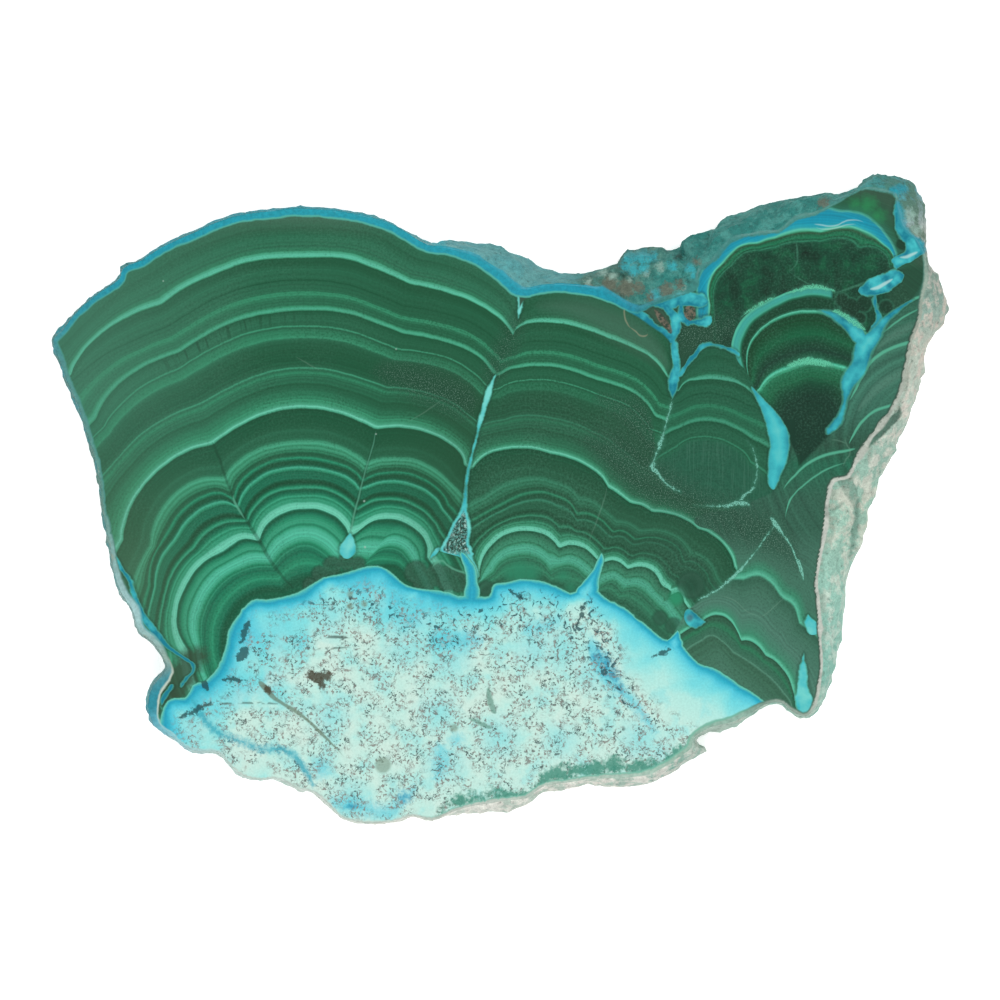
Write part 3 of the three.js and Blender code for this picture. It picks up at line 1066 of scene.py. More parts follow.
def crest(sheet):
    """The left half's bands, worn as the real ones are."""
    depth, bearing = growth_depth(sheet, CREST_MIDDLE, CREST)
    colour = dusted(sheet, crest_bands(sheet, depth, bearing), CREST_DUST)
    colour = lined(sheet, colour, CUSPS, CUSP_DARK)
    nodules = in_spots(sheet, CREST_NODULES)
    in_nodules = mask_of(nodules, soft=3.5)
    in_nodules = in_nodules * depth.between(*NODULES_INNER).most(sheet.x.between(*NODULES_RIGHT))
    colour = wash(colour, (shaded(nodules, NODULE_SHADES), NODULES_SHOW), in_nodules)
    colour = gritty(sheet, colour, in_nodules * 0.4)
    colour = lined(sheet, colour, CREST_THREADS, CREST_THREAD)
    colour = lined(sheet, colour, SCRATCHES, SCRATCH)
    colour = wash(colour, CREST_DOT, mask_of(in_spots(sheet, CREST_DOTS), soft=1.5))
    colour = veined(sheet, colour, CREST_VEINS, light=0.2)
    colour = veined(sheet, colour, LEFT_STRIPES, light=sheet.y.between(*STRIPES_DARKEN) * -0.22)
    return {"colour": cleft(sheet, colour)}


# %% [markdown]
# ## The saddle and the dome
# Right of the cleft two growths meet: the saddle, whose bands are dimmer than the crest's, and the
# small dome. Below them a growth at the foot has two pale scalloped lines, and the dull stone between
# the growths is broken and grainy.

# %% Saddle, dome and foot
SADDLE_DOME = [
    (330, 669), (360, 673), (395, 673), (405, 671), (435, 663), (455, 656), (468, 654), (488, 672),
    (500, 695), (512, 745), (520, 780),
]
RIGHT_BORDER = [
    (346, 735), (360, 742), (372, 748), (394, 757), (405, 764), (420, 773), (440, 779), (485, 776),
    (500, 755), (510, 735), (520, 694), (530, 712), (542, 726), (556, 735), (568, 737), (580, 727),
    (591, 715), (600, 701), (612, 687), (641, 670),
]
DIMMING = [
    (100, 0), (113, 0.1), (122, 0.5), (182, 0.5), (187, 0.1), (192, 0), (200, 0.4), (238, 0.62),
    (240.5, 0.2), (243, 0.25), (246, 0.6), (267, 0.6), (270, 0.4), (273, 0.5), (280, 0.25), (285, 0),
    (294, 0), (297, 0.6), (303, 0.5), (311, 0.25), (325, 0.25), (340, 0.4),
]
FOOT_SHADES = [
    (-40, (70, 116, 98)), (-14, (70, 120, 100)), (-5, (62, 138, 108)), (-2, (76, 166, 134)),
    (-0.5, (94, 188, 156)), (1.2, (90, 184, 152)), (3, (54, 100, 80)), (12, (68, 116, 96)),
    (32, (80, 128, 110)), (42, (72, 134, 110)), (46.5, (66, 148, 116)), (48.6, (92, 188, 154)),
    (50.6, (96, 194, 162)), (52, (46, 88, 66)), (57, (54, 100, 78)), (63, (50, 124, 90)),
    (69, (58, 112, 88)), (78, (62, 112, 90)), (80, (86, 142, 118)), (81.5, (60, 104, 82)),
    (92, (70, 118, 96)), (110, (78, 126, 106)),
]
SIDE_SHADES = [
    (290, (50, 98, 79)), (330, (60, 110, 91)), (380, (67, 120, 101)), (415, (62, 112, 94)),
    (445, (52, 90, 73)), (465, (46, 108, 84)), (500, (56, 100, 82)), (560, (58, 102, 84)),
]
SIDE_MIDDLE = (930, 440)
HORN_EDGE = [
    (345, 735), (356, 736), (372, 747), (394, 757), (420, 775), (445, 792), (470, 798), (490, 790),
    (520, 770), (545, 752), (575, 738),
]
FAR_SIDE = [
    (250, 935), (300, 912), (322, 886), (345, 868), (385, 850), (425, 836), (450, 815), (478, 790),
    (500, 778),
]
RIGHT_VEIN = ("y", [
    (299, 914, 1), (304, 906, 1.6), (310, 897, 2.2), (315, 891, 3), (323, 883, 3.5), (332, 876, 5.5),
    (343, 867, 9), (352, 863, 9), (360, 861.5, 8), (370, 856, 8.5), (378, 851.5, 8.5), (386, 848, 6.5),
    (394, 846.5, 4), (404, 844, 2.4), (412, 841.5, 2.4), (420, 838, 4.2), (426, 834, 4.4), (431, 830, 3),
    (435, 828, 1),
])
DOME_VEINS = [
    ("y", [(334, 671, 3), (350, 674, 3), (365, 676, 3), (375, 674, 5), (385, 673, 5), (393, 673, 3),
           (400, 672, 1)]),
    ("x", [(674, 378, 1), (681, 373, 2), (688, 362, 2.5), (696, 354, 3), (703, 346.5, 2.2),
           (712, 344.5, 2), (723, 346.5, 2), (732, 350, 2.2), (740, 355, 2)]),
]
RIGHT_BRANCH = ("x", [
    (816, 310, 1), (826, 312, 2), (838, 318, 4.5), (848, 325, 7), (857, 333, 8.5), (865, 340, 5),
    (872, 345, 1),
])
BLADE = ("y", [
    (386, 751, 1), (392, 755, 2), (402, 762, 3.5), (412, 769, 6), (422, 774, 8.5), (432, 778, 10),
    (445, 780, 10), (458, 778, 9.4), (469, 776, 7.6), (478, 774, 6), (485, 773, 4), (490, 773, 1),
])
SADDLE_VEINS = [
    ("x", [(684, 616, 1), (688, 617, 7), (693, 619, 7.5), (699, 622, 5), (706, 622, 1)]),
]
PALE_VEINS = [
    ("y", [(613, 808, 1), (619, 809, 3.5), (625, 812, 6.5), (629, 814, 7), (635, 813, 1)]),
    ("y", [(652, 804, 1), (660, 803.5, 2), (672, 803, 4), (690, 803, 5.5), (702, 804, 9), (718, 806, 11)]),
]
GRANULAR_LINES = [
    ("y", [(397, 672, 1), (405, 671, 0.8), (430, 664, 0.8), (445, 660, 2.2), (455, 656, 0.8),
           (468, 653, 2.2), (472, 654, 1)]),
    ("x", [(650, 466, 1), (654, 469, 2), (664, 481, 1.2), (674, 489, 1), (682, 492, 1)]),
    ("x", [(697, 601, 1), (706, 596, 1), (715, 591, 1.2), (726, 583, 1.4), (738, 572, 1.8), (746, 563, 1),
           (756, 551, 0.6), (768, 534, 0.6), (778, 522, 1)]),
    ("x", [(770, 518, 1), (777, 526, 2.4), (783, 534, 1), (791, 546, 0.8), (797, 560, 1), (802, 571, 2),
           (804, 578, 1)]),
    ("x", [(694, 505, 1), (715, 506, 0.8), (730, 505, 1.6), (738, 503, 2.6), (750, 506, 1)]),
    ("y", [(440, 746, 1), (455, 755, 0.5), (470, 757, 0.8), (485, 754, 0.8), (495, 745, 1.4),
           (502, 738, 1)]),
]
SIDE_LINES = [
    ("x", [(893, 316, 1), (900, 308, 1.4), (908, 302, 1.4), (916, 298, 1.3), (926, 295, 1)]),
    ("x", [(882, 334, 1), (895, 323, 0.7), (909, 314, 0.7), (924, 307, 1)]),
    ("x", [(849, 402, 1), (857, 386, 1.2), (863, 374, 1.8), (872, 361, 1.6), (888, 350, 1.4),
           (911, 342, 1.6), (918, 340, 1)]),
    ("x", [(849, 444, 1), (855, 432, 1.1), (863, 421, 1.2), (873, 412, 1.3), (886, 407, 1.2),
           (897, 403, 1), (903, 401, 1)]),
    ("x", [(783, 490, 1), (793, 477, 1), (818, 458, 1.3), (850, 450, 1), (856, 449, 1)]),
    ("x", [(785, 523, 1), (788, 505, 0.6), (793, 496, 0.6), (806, 483, 0.7), (830, 468, 0.6),
           (850, 462, 1)]),
]
SIDE_BANDS = [
    ("x", [(858, 410, 1), (868, 398, 3), (880, 386, 4), (893, 378, 4), (906, 370, 1)]),
    ("x", [(876, 350, 1), (888, 339, 3), (902, 331, 4), (916, 324, 1)]),
]
FAINT_LINES = [
    ("y", [(438, 845, 1), (445, 847, 0.5), (452, 850, 0.5), (459, 846, 0.5), (467, 843, 1)]),
    ("x", [(831, 440, 1), (840, 441, 0.4), (850, 448, 1)]),
    ("y", [(486, 607, 1), (500, 604, 0.3), (520, 597, 0.3), (545, 588, 1)]),
    ("x", [(720, 595, 1), (735, 601, 0.3), (748, 612, 0.3), (760, 616, 1)]),
    ("x", [(758, 618, 1), (768, 612, 0.4), (776, 605, 0.4), (786, 596, 1)]),
]
LINT = [
    ("y", [(302, 626, 1), (308, 624.5, 0.5), (316, 624.5, 0.5), (323, 627, 0.5), (329, 632, 1)]),
    ("x", [(630, 327, 1), (636, 332, 0.5), (641, 336, 0.5), (645, 336, 0.5), (648, 331, 1)]),
]
SADDLE_DUST = [
    BORDER_DUST,
    ("x", [(585, 440, 4), (610, 452, 12), (640, 472, 20), (670, 492, 15), (700, 508, 14), (740, 524, 16),
           (770, 536, 16), (800, 560, 4)]),
    ("x", [(600, 400, 2), (625, 414, 8), (645, 430, 14), (655, 450, 2)]),
]
GREY_PATCH = ("x", [
    (540, 306, 2), (570, 308, 8), (600, 318, 12), (630, 332, 13), (655, 350, 8), (668, 365, 2),
])
LOBE_HEARTS = [(520, 573, 13), (530, 574, 11), (511, 574, 9), (571, 587, 6), (563, 576, 6)]
DARK_DISCS = [(691, 585, 14), (486, 588, 8), (660, 618, 8), (673, 626, 9), (684, 634, 6)]
DULL_OUTER, DULL_INNER, DULL_CHANGE = paint(46, 88, 66), paint(58, 112, 88), (285, 298)
DIMMER_RIGHT = (420, 640)
FAR_LOBES, FAR_OUTER, FAR_INNER = (600, 680), (228, 236), (285, 278)
FAR_GREEN = paint(48, 92, 72), 0.6
DOME_HEART, DOME_FOOT = (111, 116), (545, 500)
DOME_GREEN, DOME_DARK = (paint(49, 106, 84), 0.85), (paint(26, 80, 60), 0.3)
DOME_THREAD, THREAD_FINE, THREAD_LONG = (paint(88, 138, 118), 0.35), 0.55, 0.03
SADDLE_DEEP = (135, 115)
HEART_GREEN, GREY_DULL = (paint(50, 137, 104), 0.8), (paint(84, 122, 104), 0.4)
DISC_SHADES, DISCS_SHOW = [(0, (38, 78, 60)), (3, (52, 92, 74)), (10, (42, 82, 64))], 0.75
GREEN_LOBE, LOBE_GREEN = [(676, 598, 9)], (paint(48, 146, 106), 0.9)
VEIN_HEART, HEART_GREY = [(690, 618, 4)], (paint(74, 92, 104), 0.7)
SIDE_LAYERS, SIDE_LIGHT = 0.16, (0.9, 0.55)
SIDE_BAND, SIDE_LINE = (paint(92, 138, 120), 0.5), (paint(92, 182, 150), 0.85)
FOOT_TOP, FOOT_RATE = (530, 556), 0.6
SADDLE_GRAINS = paint(132, 206, 186)
FAINT_LINE, LINT_GREY = (paint(116, 160, 138), 0.4), (paint(170, 168, 140), 0.55)
ABOVE_SKIN, HORN_FOOT = (-2, -4), (500, 480)


def side_colour(sheet):
    """The dull stone along the right side, with faint layers of its own."""
    settings, places = {"operation": "DISTANCE"}, {0: sheet.flat, 1: (*SIDE_MIDDLE, 0)}
    layers = layered(Wire.node("VectorMath", settings, places, output=1), SIDE_LAYERS, detail=3)
    colour = tint(shaded(sheet.y, SIDE_SHADES), layers.times_plus(*SIDE_LIGHT))
    foot, bearing = growth_depth(sheet, FOOT_MIDDLE, FOOT, inside_rate=FOOT_RATE)
    foot_colour = weathered(sheet, shaded(foot, FOOT_SHADES), foot, bearing, grit=0.35)
    colour = wash(colour, SIDE_BAND, deepest(sheet, SIDE_BANDS).between(-3, 3))
    colour = gritty(sheet, colour, strength=0.4)
    colour = mix(colour, foot_colour, sheet.y.between(*FOOT_TOP))
    return lined(sheet, colour, SIDE_LINES, SIDE_LINE)


def rightmost(sheet, colour):
    """The two large veins beside the horn's dome, smooth in the blade and soft-edged in the other."""
    colour = veined(sheet, colour, [BLADE], light=0.02, ragged=2, cloudy=0.3)
    return veined(sheet, colour, [RIGHT_VEIN, RIGHT_BRANCH], light=-0.04, soft=4, cloudy=0.5)


def saddle_bands(sheet, depth, bearing, in_dome):
    """The dimmer bands of the saddle and the dome, and the dome's threaded heart."""
    greys = [(at, (amount, amount, amount, 1)) for at, amount in DIMMING]
    dim = ramp(depth, DIMMING[0][0], DIMMING[-1][0], greys)
    dull = mix(DULL_OUTER, DULL_INNER, depth.between(*DULL_CHANGE))
    dimmer = sheet.x.between(*DIMMER_RIGHT).times_plus(0.5, 0.75)
    colour = mix(band_colour(depth, SADDLE_RED), dull, dim * dimmer)
    far_lobes = sheet.x.between(*FAR_LOBES) * depth.between(*FAR_OUTER) * depth.between(*FAR_INNER)
    colour = wash(colour, FAR_GREEN, far_lobes)
    colour = wash(colour, DOME_GREEN, in_dome * depth.between(*DOME_HEART))
    colour = weathered(sheet, colour, depth, bearing, grit=0.5)
    colour = deepened(colour, depth.between(*SADDLE_DEEP) * (0.5 - in_dome * 0.3))
    colour = wash(colour, HEART_GREEN, in_spots(sheet, LOBE_HEARTS).between(-3, 8))
    threads = Wire.node("CombineXYZ", {}, {0: sheet.x * THREAD_FINE, 1: sheet.y * THREAD_LONG})
    threads = grain(threads, 1, detail=2).between(0.5, 0.75) * in_dome * depth.between(*DOME_HEART)
    colour = wash(colour, DOME_THREAD, threads)
    return wash(colour, DOME_DARK, in_dome * sheet.y.between(*DOME_FOOT))


def saddle(sheet):
    """The saddle's and the dome's bands and the stone to their right, and where all that and the horn lie."""
    depth, bearing = growth_depth(sheet, SADDLE_MIDDLE, SADDLE)
    dome_depth, _ = growth_depth(sheet, DOME_MIDDLE, DOME)
    in_dome = past_line(sheet, "y", SADDLE_DOME)
    depth = in_dome.times_plus(dome_depth - depth, depth)
    colour = saddle_bands(sheet, depth, bearing, in_dome)
    colour = wash(colour, GREY_DULL, inside_vein(sheet, *GREY_PATCH).between(-10, 8))
    discs = in_spots(sheet, DARK_DISCS)
    colour = wash(colour, (shaded(discs, DISC_SHADES), DISCS_SHOW), mask_of(discs, soft=3))
    colour = wash(colour, LOBE_GREEN, in_spots(sheet, GREEN_LOBE).between(-1, 5))
    colour = mix(colour, side_colour(sheet), past_line(sheet, "y", RIGHT_BORDER))
    colour = dusted(sheet, colour, SADDLE_DUST)
    colour = granular(sheet, colour, GRANULAR_LINES, SADDLE_GRAINS)
    colour = lined(sheet, colour, FAINT_LINES, FAINT_LINE)
    colour = veined(sheet, colour, [*SADDLE_VEINS, *DOME_VEINS], light=-0.06)
    colour = wash(colour, HEART_GREY, in_spots(sheet, VEIN_HEART).between(-1, 2))
    colour = rightmost(sheet, colour)
    colour = veined(sheet, colour, PALE_VEINS, light=0.24)
    colour = cleft(sheet, colour)
    in_horn = past_line(sheet, "y", HORN_EDGE).most(depth.between(*ABOVE_SKIN))
    in_horn = in_horn * (1 - past_line(sheet, "y", FAR_SIDE, soft=4)) * sheet.y.between(*HORN_FOOT)
    return {
        "colour": lined(sheet, colour, LINT, LINT_GREY),
        "right of the cleft": past_line(sheet, "y", CREST_SADDLE),
        "in the horn": in_horn,
    }


# %% [markdown]
# ## The horn
# Up in the horn two smaller growths stand one over the other, each with a blue-green skin of its own.
# The stone round them is dark, nodular and cracked, and blobs of chrysocolla break through it. They
# are traced as the large growths are, but their shades are their own.

# %% Growths in the horn
HORN_DOME_SKIN, HORN_DOME_UNDER, HORN_DOME_LINE, HORN_DOME_BRIGHT = 0, 8, 20, 70
HORN_DOME = {
    HORN_DOME_SKIN: [
        (732, 356), (733, 337), (741, 321), (750, 312), (766, 302), (781, 295), (795, 290), (813, 287.5),
        (832, 289.5), (840, 293),
    ],
    HORN_DOME_UNDER: [
        (746, 371), (742, 346), (746, 334), (753, 323), (768, 312), (783, 304), (796, 299), (813, 296.5),
        (831, 299), (840, 303),
    ],
    HORN_DOME_LINE: [
        (748, 374), (747, 354), (751, 341), (760, 330), (775, 319), (792, 312.5), (810, 311), (825, 313),
        (838, 319),
    ],
    HORN_DOME_BRIGHT: [
        (760, 389), (770, 377), (787, 369), (800, 364.5), (813, 361.5), (827, 364), (845, 368.5),
    ],
}
HORN_DOME_SHADES = [
    (-1, (36, 76, 60)), (0.5, (88, 190, 160)), (2, (64, 162, 150)), (4.5, (68, 168, 154)),
    (6, (72, 172, 146)), (7.4, (40, 108, 80)), (9, (28, 74, 54)), (17, (28, 72, 52)), (19, (46, 112, 86)),
    (20, (100, 205, 172)), (21.5, (58, 150, 116)), (23, (26, 74, 50)), (30, (26, 78, 52)),
    (42, (32, 100, 68)), (50, (30, 78, 56)), (58, (34, 68, 54)), (66, (36, 95, 68)), (68, (72, 180, 144)),
    (69.5, (98, 208, 174)), (71.5, (64, 166, 126)), (74, (42, 118, 84)), (84, (38, 104, 72)),
    (93, (32, 76, 56)), (104, (32, 63, 50)),
]
HORN_BLUE_TOP, HORN_BLUE_FOOT, HORN_PALE_LINE = -10, 0, 13
HORN = {
    HORN_BLUE_TOP: [
        (699, 326), (699, 300), (698, 285), (705, 268), (716, 256), (727, 244), (741, 236), (757, 233),
        (775, 226), (784, 217), (798, 212), (812, 214), (820, 209), (840, 212), (860, 214), (872, 221),
        (880, 229), (887, 238), (892, 246), (896, 256), (897, 268),
    ],
    HORN_BLUE_FOOT: [
        (710, 326), (710, 305), (709, 286), (714, 273), (724, 262), (732, 253), (741, 246), (757, 243.5),
        (775, 238), (790, 233), (803, 231), (820, 232), (840, 228), (852, 228), (862, 231), (872, 236),
        (878, 240), (884, 245), (890, 250), (894, 258), (895, 268),
    ],
    HORN_PALE_LINE: [
        (716, 328), (714, 306), (714, 291), (720, 277), (731, 267), (740, 257), (748, 252), (760, 251),
        (775, 248), (792, 243), (806, 242), (820, 242), (840, 239), (852, 242), (858, 249), (868, 247),
        (878, 249), (886, 256), (889, 268),
    ],
}
HORN_SHADES = [
    (-34, (58, 90, 72)), (-20, (46, 94, 70)), (-13, (50, 110, 88)), (-10.4, (80, 176, 160)),
    (-9.4, (40, 146, 166)), (-8, (24, 144, 168)), (-4.5, (26, 152, 176)), (-2, (46, 164, 176)),
    (-0.7, (94, 198, 168)), (0.8, (58, 134, 100)), (2.5, (52, 88, 64)), (4.5, (38, 104, 74)),
    (8, (40, 124, 88)), (10, (34, 92, 66)), (12, (52, 128, 98)), (13.5, (30, 76, 57)), (45, (27, 71, 53)),
]
HORN_MIDDLE, HORN_DOME_MIDDLE = (795, 335), (800, 430)
TIP_VEINS = [
    ("y", [(200, 897, 1), (210, 899, 5), (222, 900, 6), (232, 904, 6), (240, 912, 8), (248, 916, 10),
           (256, 908, 8), (264, 899, 4), (270, 896, 2)]),
    ("x", [(888, 190, 1), (894, 190, 4), (900, 189, 5), (907, 190, 1)]),
]
HORN_VEINS = [
    *TIP_VEINS,
    ("y", [(292, 875, 2), (300, 875, 3), (308, 876, 2.5), (318, 879, 3), (328, 876, 5), (338, 869, 4)]),
    ("x", [(858, 291, 2), (865, 289, 6), (876, 287, 9), (888, 282, 9), (897, 278, 7), (905, 275, 2)]),
    ("x", [(622, 304, 2), (636, 314, 5), (650, 325, 6), (660, 333, 6), (668, 338, 5), (675, 342, 2)]),
    ("y", [(303, 664, 2), (308, 667, 4), (314, 672, 4.5), (322, 676, 4.5), (330, 676, 5), (336, 672, 5),
           (343, 670, 2)]),
    ("x", [(645, 303, 1), (654, 304, 3), (664, 305, 4.5), (674, 302, 6), (684, 300, 7), (696, 301, 7),
           (708, 302, 3)]),
    ("y", [(298, 681, 3), (308, 681, 3.5), (315, 682, 3.5), (321, 686, 4), (326, 689, 1)]),
    ("x", [(679, 315, 2), (686, 321, 4), (696, 322, 4), (706, 321, 4), (712, 320, 1)]),
]
ISLANDS = [
    ("y", [(309, 655, 1), (316, 660, 3), (322, 664, 3.5), (328, 668, 3), (334, 671, 1)]),
    ("y", [(306, 690, 1), (309, 690, 5), (314, 690, 6), (318, 690, 4), (321, 690, 1)]),
]
HORN_CRACKS = [
    ("y", [(241, 796, 1), (250, 797, 0.8), (262, 797, 0.6), (268, 793, 0.5), (272, 789, 1)]),
    ("x", [(788, 271, 1), (800, 279, 0.4), (815, 287, 0.4), (833, 292, 1)]),
    ("y", [(250, 893, 1), (258, 895, 0.9), (266, 895, 0.9), (272, 888, 1)]),
    ("x", [(830, 294, 1), (848, 289, 0.9), (862, 284, 1.2), (880, 276, 1.2), (894, 268, 1)]),
]
HORN_NODULES = [(850, 308, 10), (864, 304, 8), (886, 307, 7), (902, 244, 6.5), (842, 300, 7), (860, 318, 6)]
# White streaks in the horn's blue band and in a blob; the short line near the right edge at the tip is a
# painted highlight.
STREAKS_AND_HIGHLIGHT = [
    ("x", [(814, 224, 1), (822, 225, 0.4), (832, 226, 0.4), (843, 222, 0.4), (852, 220, 0.3),
           (864, 224, 1)]),
    ("x", [(816, 227, 1), (826, 229, 0.2), (836, 228, 0.3), (846, 225, 0.2), (856, 224, 1)]),
    ("x", [(899, 257, 1), (904, 257, 1), (911, 255, 1.4), (918, 252, 1)]),
    ("x", [(870, 289, 1), (876, 288, 1.4), (884, 284, 1.6), (893, 279, 1)]),
]
BEADS = [
    ("x", [(786, 366, 1), (795, 364, 3), (806, 361, 4), (818, 362, 4), (828, 364, 3), (834, 366, 1)]),
    ("x", [(786, 294, 1), (798, 290, 2), (812, 287, 2.5), (828, 289, 2), (836, 292, 1)]),
    ("x", [(832, 311, 1), (840, 313, 2.5), (850, 320, 3), (860, 326, 2.5), (866, 330, 1)]),
    ("x", [(740, 318, 1), (752, 309, 1.6), (764, 302, 1.6), (776, 296, 1)]),
]
HORN_DUST = [("x", [(672, 332, 3), (690, 336, 12), (715, 334, 12), (735, 318, 6)])]
NODULAR, LUMP_SCALE, LUMP_LIGHT = (11, 15), 0.05, (2.2, -1.1)
LUMP_GREEN, BAND_PAST = (paint(32, 104, 68), 0.35), paint(44, 82, 63)
BAND_FOOT_DOWN, BAND_FOOT_LEFT = (322, 327), (722, 712)
BAND_END_DOWN, BAND_END_RIGHT = (264, 270), (884, 890)
HORN_NODULE_SHADES, HORN_NODULES_SHOW = [(-1, (54, 112, 88)), (1.5, (34, 62, 48))], 0.85
HORN_CRACK, STREAK_AND_HIGHLIGHT_WHITE = (paint(72, 136, 110), 0.6), (paint(186, 224, 220), 0.75)
HORN_DOME_EDGE, HORN_DOME_END, HORN_DOME_WHOLE = (-1, 0), (833, 830), (18, 20)
UNDER_BAND, CLEAN_RIM, HORN_GRIT = (0, 3), (9, 8), 0.5
GREEN_TIP, TIP_GREEN = [(868, 205, 9), (856, 204, 6), (878, 216, 7)], (paint(50, 138, 88), 0.8)
BEAD_GRAINS = paint(104, 206, 166)
ISLAND_PALE, ISLAND_DARK, ISLANDS_SHOW = paint(122, 112, 98), paint(60, 74, 64), 0.9


def horn(sheet):
    """The horn's two growths and the dark stone round them."""
    depth, _ = growth_depth(sheet, HORN_MIDDLE, HORN)
    dome, bearing = growth_depth(sheet, HORN_DOME_MIDDLE, HORN_DOME, inside_rate=1)
    lumps = grain(sheet.flat, LUMP_SCALE, detail=3, roughness=0.65)
    light = depth.between(*NODULAR).times_plus(lumps.times_plus(*LUMP_LIGHT), 1)
    colour = tint(shaded(depth, HORN_SHADES), light)
    colour = wash(colour, LUMP_GREEN, lumps.between(0.55, 0.66) * depth.between(*NODULAR))
    under_band = sheet.y.between(*BAND_FOOT_DOWN) * sheet.x.between(*BAND_FOOT_LEFT)
    beside_band = sheet.y.between(*BAND_END_DOWN) * sheet.x.between(*BAND_END_RIGHT)
    colour = mix(colour, BAND_PAST, under_band.most(beside_band))
    nodules = in_spots(sheet, HORN_NODULES)
    nodule_colour = shaded(nodules, HORN_NODULE_SHADES)
    colour = wash(colour, (nodule_colour, HORN_NODULES_SHOW), mask_of(nodules + 1, soft=1.5))
    colour = lined(sheet, colour, HORN_CRACKS, HORN_CRACK)
    on_dome = dome.between(*HORN_DOME_EDGE)
    on_dome = on_dome * sheet.x.between(*HORN_DOME_END).most(dome.between(*HORN_DOME_WHOLE))
    colour = mix(colour, shaded(dome, HORN_DOME_SHADES), on_dome)
    grit = depth.between(*UNDER_BAND) * (1 - on_dome * dome.between(*CLEAN_RIM)) * HORN_GRIT
    colour = weathered(sheet, colour, dome, bearing, grit)
    colour = wash(colour, TIP_GREEN, frayed(sheet, in_spots(sheet, GREEN_TIP), amount=10).between(-4, 7))
    colour = dusted(sheet, colour, HORN_DUST)
    colour = veined(sheet, colour, [*DOME_VEINS, *HORN_VEINS], light=-0.08, ragged=9)
    colour = rightmost(sheet, colour)
    colour = granular(sheet, colour, BEADS, BEAD_GRAINS)
    islands = mix(ISLAND_PALE, ISLAND_DARK, sheet.broken.between(0.42, 0.58))
    colour = wash(colour, (islands, ISLANDS_SHOW), mask_of(deepest(sheet, ISLANDS), soft=1.6))
    # White streaks, one of them a painted highlight.
    return {"colour": lined(sheet, colour, STREAKS_AND_HIGHLIGHT, STREAK_AND_HIGHLIGHT_WHITE)}


# %% [markdown]
# ## The chrysocolla core
# Inside the oldest layer of malachite the nodule is filled with pale blue-green chrysocolla. It is
# bluest against the malachite, then fades to pale mint, and further in it is full of fine dark specks.
# A wedge at the right stayed clear of them. Blue clouds, dark blots and a crack lie between.

# %% Core
CORE_SHADES = [
    (-1.5, (52, 118, 98)), (-0.4, (112, 205, 180)), (0.8, (72, 184, 188)), (2.5, (44, 164, 192)),
    (5, (56, 184, 206)), (9, (88, 206, 224)), (16, (114, 221, 229)), (30, (148, 232, 230)),
    (50, (182, 238, 229)), (80, (194, 240, 229)),
]
CORE_WIDTHS = [
    (150, 0.8), (230, 1.5), (300, 1.35), (360, 1.1), (410, 1.35), (470, 1.2), (520, 0.75), (590, 0.85),
    (640, 0.66), (720, 0.72), (790, 0.8),
]
CORE_BAYS = [
    ("y", [(553, 602, 1), (560, 600.5, 2.2), (568, 598, 3), (576, 594, 4.5), (584, 590, 7),
           (592, 587, 10), (602, 585, 14)]),
    ("y", [(630, 677.5, 1), (634, 677, 2), (638, 675.5, 4), (644, 674, 8), (652, 676, 12)]),
    ("y", [(552, 461, 1), (562, 467, 3.4), (572, 471, 4.4), (582, 472, 4.6), (592, 472, 7),
           (606, 471, 14)]),
]
BLOT_ZONE = ("x", [
    (300, 606, 4), (360, 602, 12), (430, 628, 14), (480, 620, 18), (520, 608, 18), (560, 614, 22),
    (590, 630, 24), (612, 668, 18), (632, 704, 4),
])
CALM = [
    (560, 594), (585, 600), (605, 604), (625, 614), (645, 622), (665, 628), (685, 640), (700, 655),
    (712, 672), (724, 690), (740, 705),
]
BLUE_CLOUDS = [
    ("x", [(428, 640, 2), (440, 640, 8), (456, 641, 9), (470, 640, 8), (484, 640, 2)]),
    ("x", [(588, 645, 1), (600, 662, 9), (610, 676, 8), (622, 691, 5), (640, 710, 4), (656, 732, 1)]),
    ("x", [(330, 802, 1), (345, 805, 5), (358, 806, 6), (385, 812, 6), (402, 800, 5), (416, 790, 2)]),
    ("x", [(524, 630, 1), (534, 628, 4), (546, 625, 4), (560, 620, 1)]),
    ("y", [(744, 438, 1), (755, 441, 4), (768, 440, 4), (780, 437, 1)]),
]
BLUE_SPOTS = [(321, 768, 8), (457, 740, 4), (302, 643, 4)]
DEEP_BLUES = [(598, 657, 7), (606, 664, 8), (612, 674, 7), (621, 688, 4), (352, 806, 5), (404, 797, 6)]
CYAN_SPOTS = [
    (285, 632, 24), (325, 612, 20), (245, 668, 14), (215, 700, 12), (450, 655, 16), (438, 712, 14),
    (535, 648, 16), (562, 652, 14), (592, 674, 12), (640, 738, 14), (445, 762, 14), (330, 716, 12),
    (500, 738, 14), (350, 800, 14), (405, 652, 10), (560, 740, 10), (660, 752, 8),
]
BLUE_VEIN = ("x", [
    (191, 700, 1), (200, 712, 3), (208, 724, 3), (218, 732, 3), (232, 738, 2), (248, 744, 2.5),
    (262, 749, 2.5), (278, 749, 2.5), (288, 752, 2.5), (298, 760, 3), (305, 770, 2.5), (314, 786, 1),
])
BLOTS = [
    ("y", [(620, 249, 1), (628, 246, 4), (636, 244, 4), (644, 241, 1)]),
    ("y", [(646, 246, 1), (652, 243, 6), (656, 242, 6), (662, 238, 1)]),
    ("x", [(198, 670, 1), (203, 680, 4), (209, 690, 1)]),
    ("x", [(222, 679, 1), (230, 679, 3), (240, 680, 3), (248, 680, 1)]),
    ("x", [(179, 718, 1), (190, 713, 3.5), (202, 707, 3.5), (213, 702, 1)]),
    ("y", [(600, 586, 1), (608, 583, 3), (618, 580, 3), (627, 576, 1)]),
    ("x", [(508, 590, 1), (515, 594, 2.5), (521, 597, 2.5), (528, 600, 1)]),
    ("y", [(586, 351, 1), (598, 350, 1.6), (612, 349, 1)]),
    ("x", [(650, 657, 1), (657, 655, 2.2), (664, 653, 3.4), (669, 650, 2.2), (675, 648, 1)]),
]
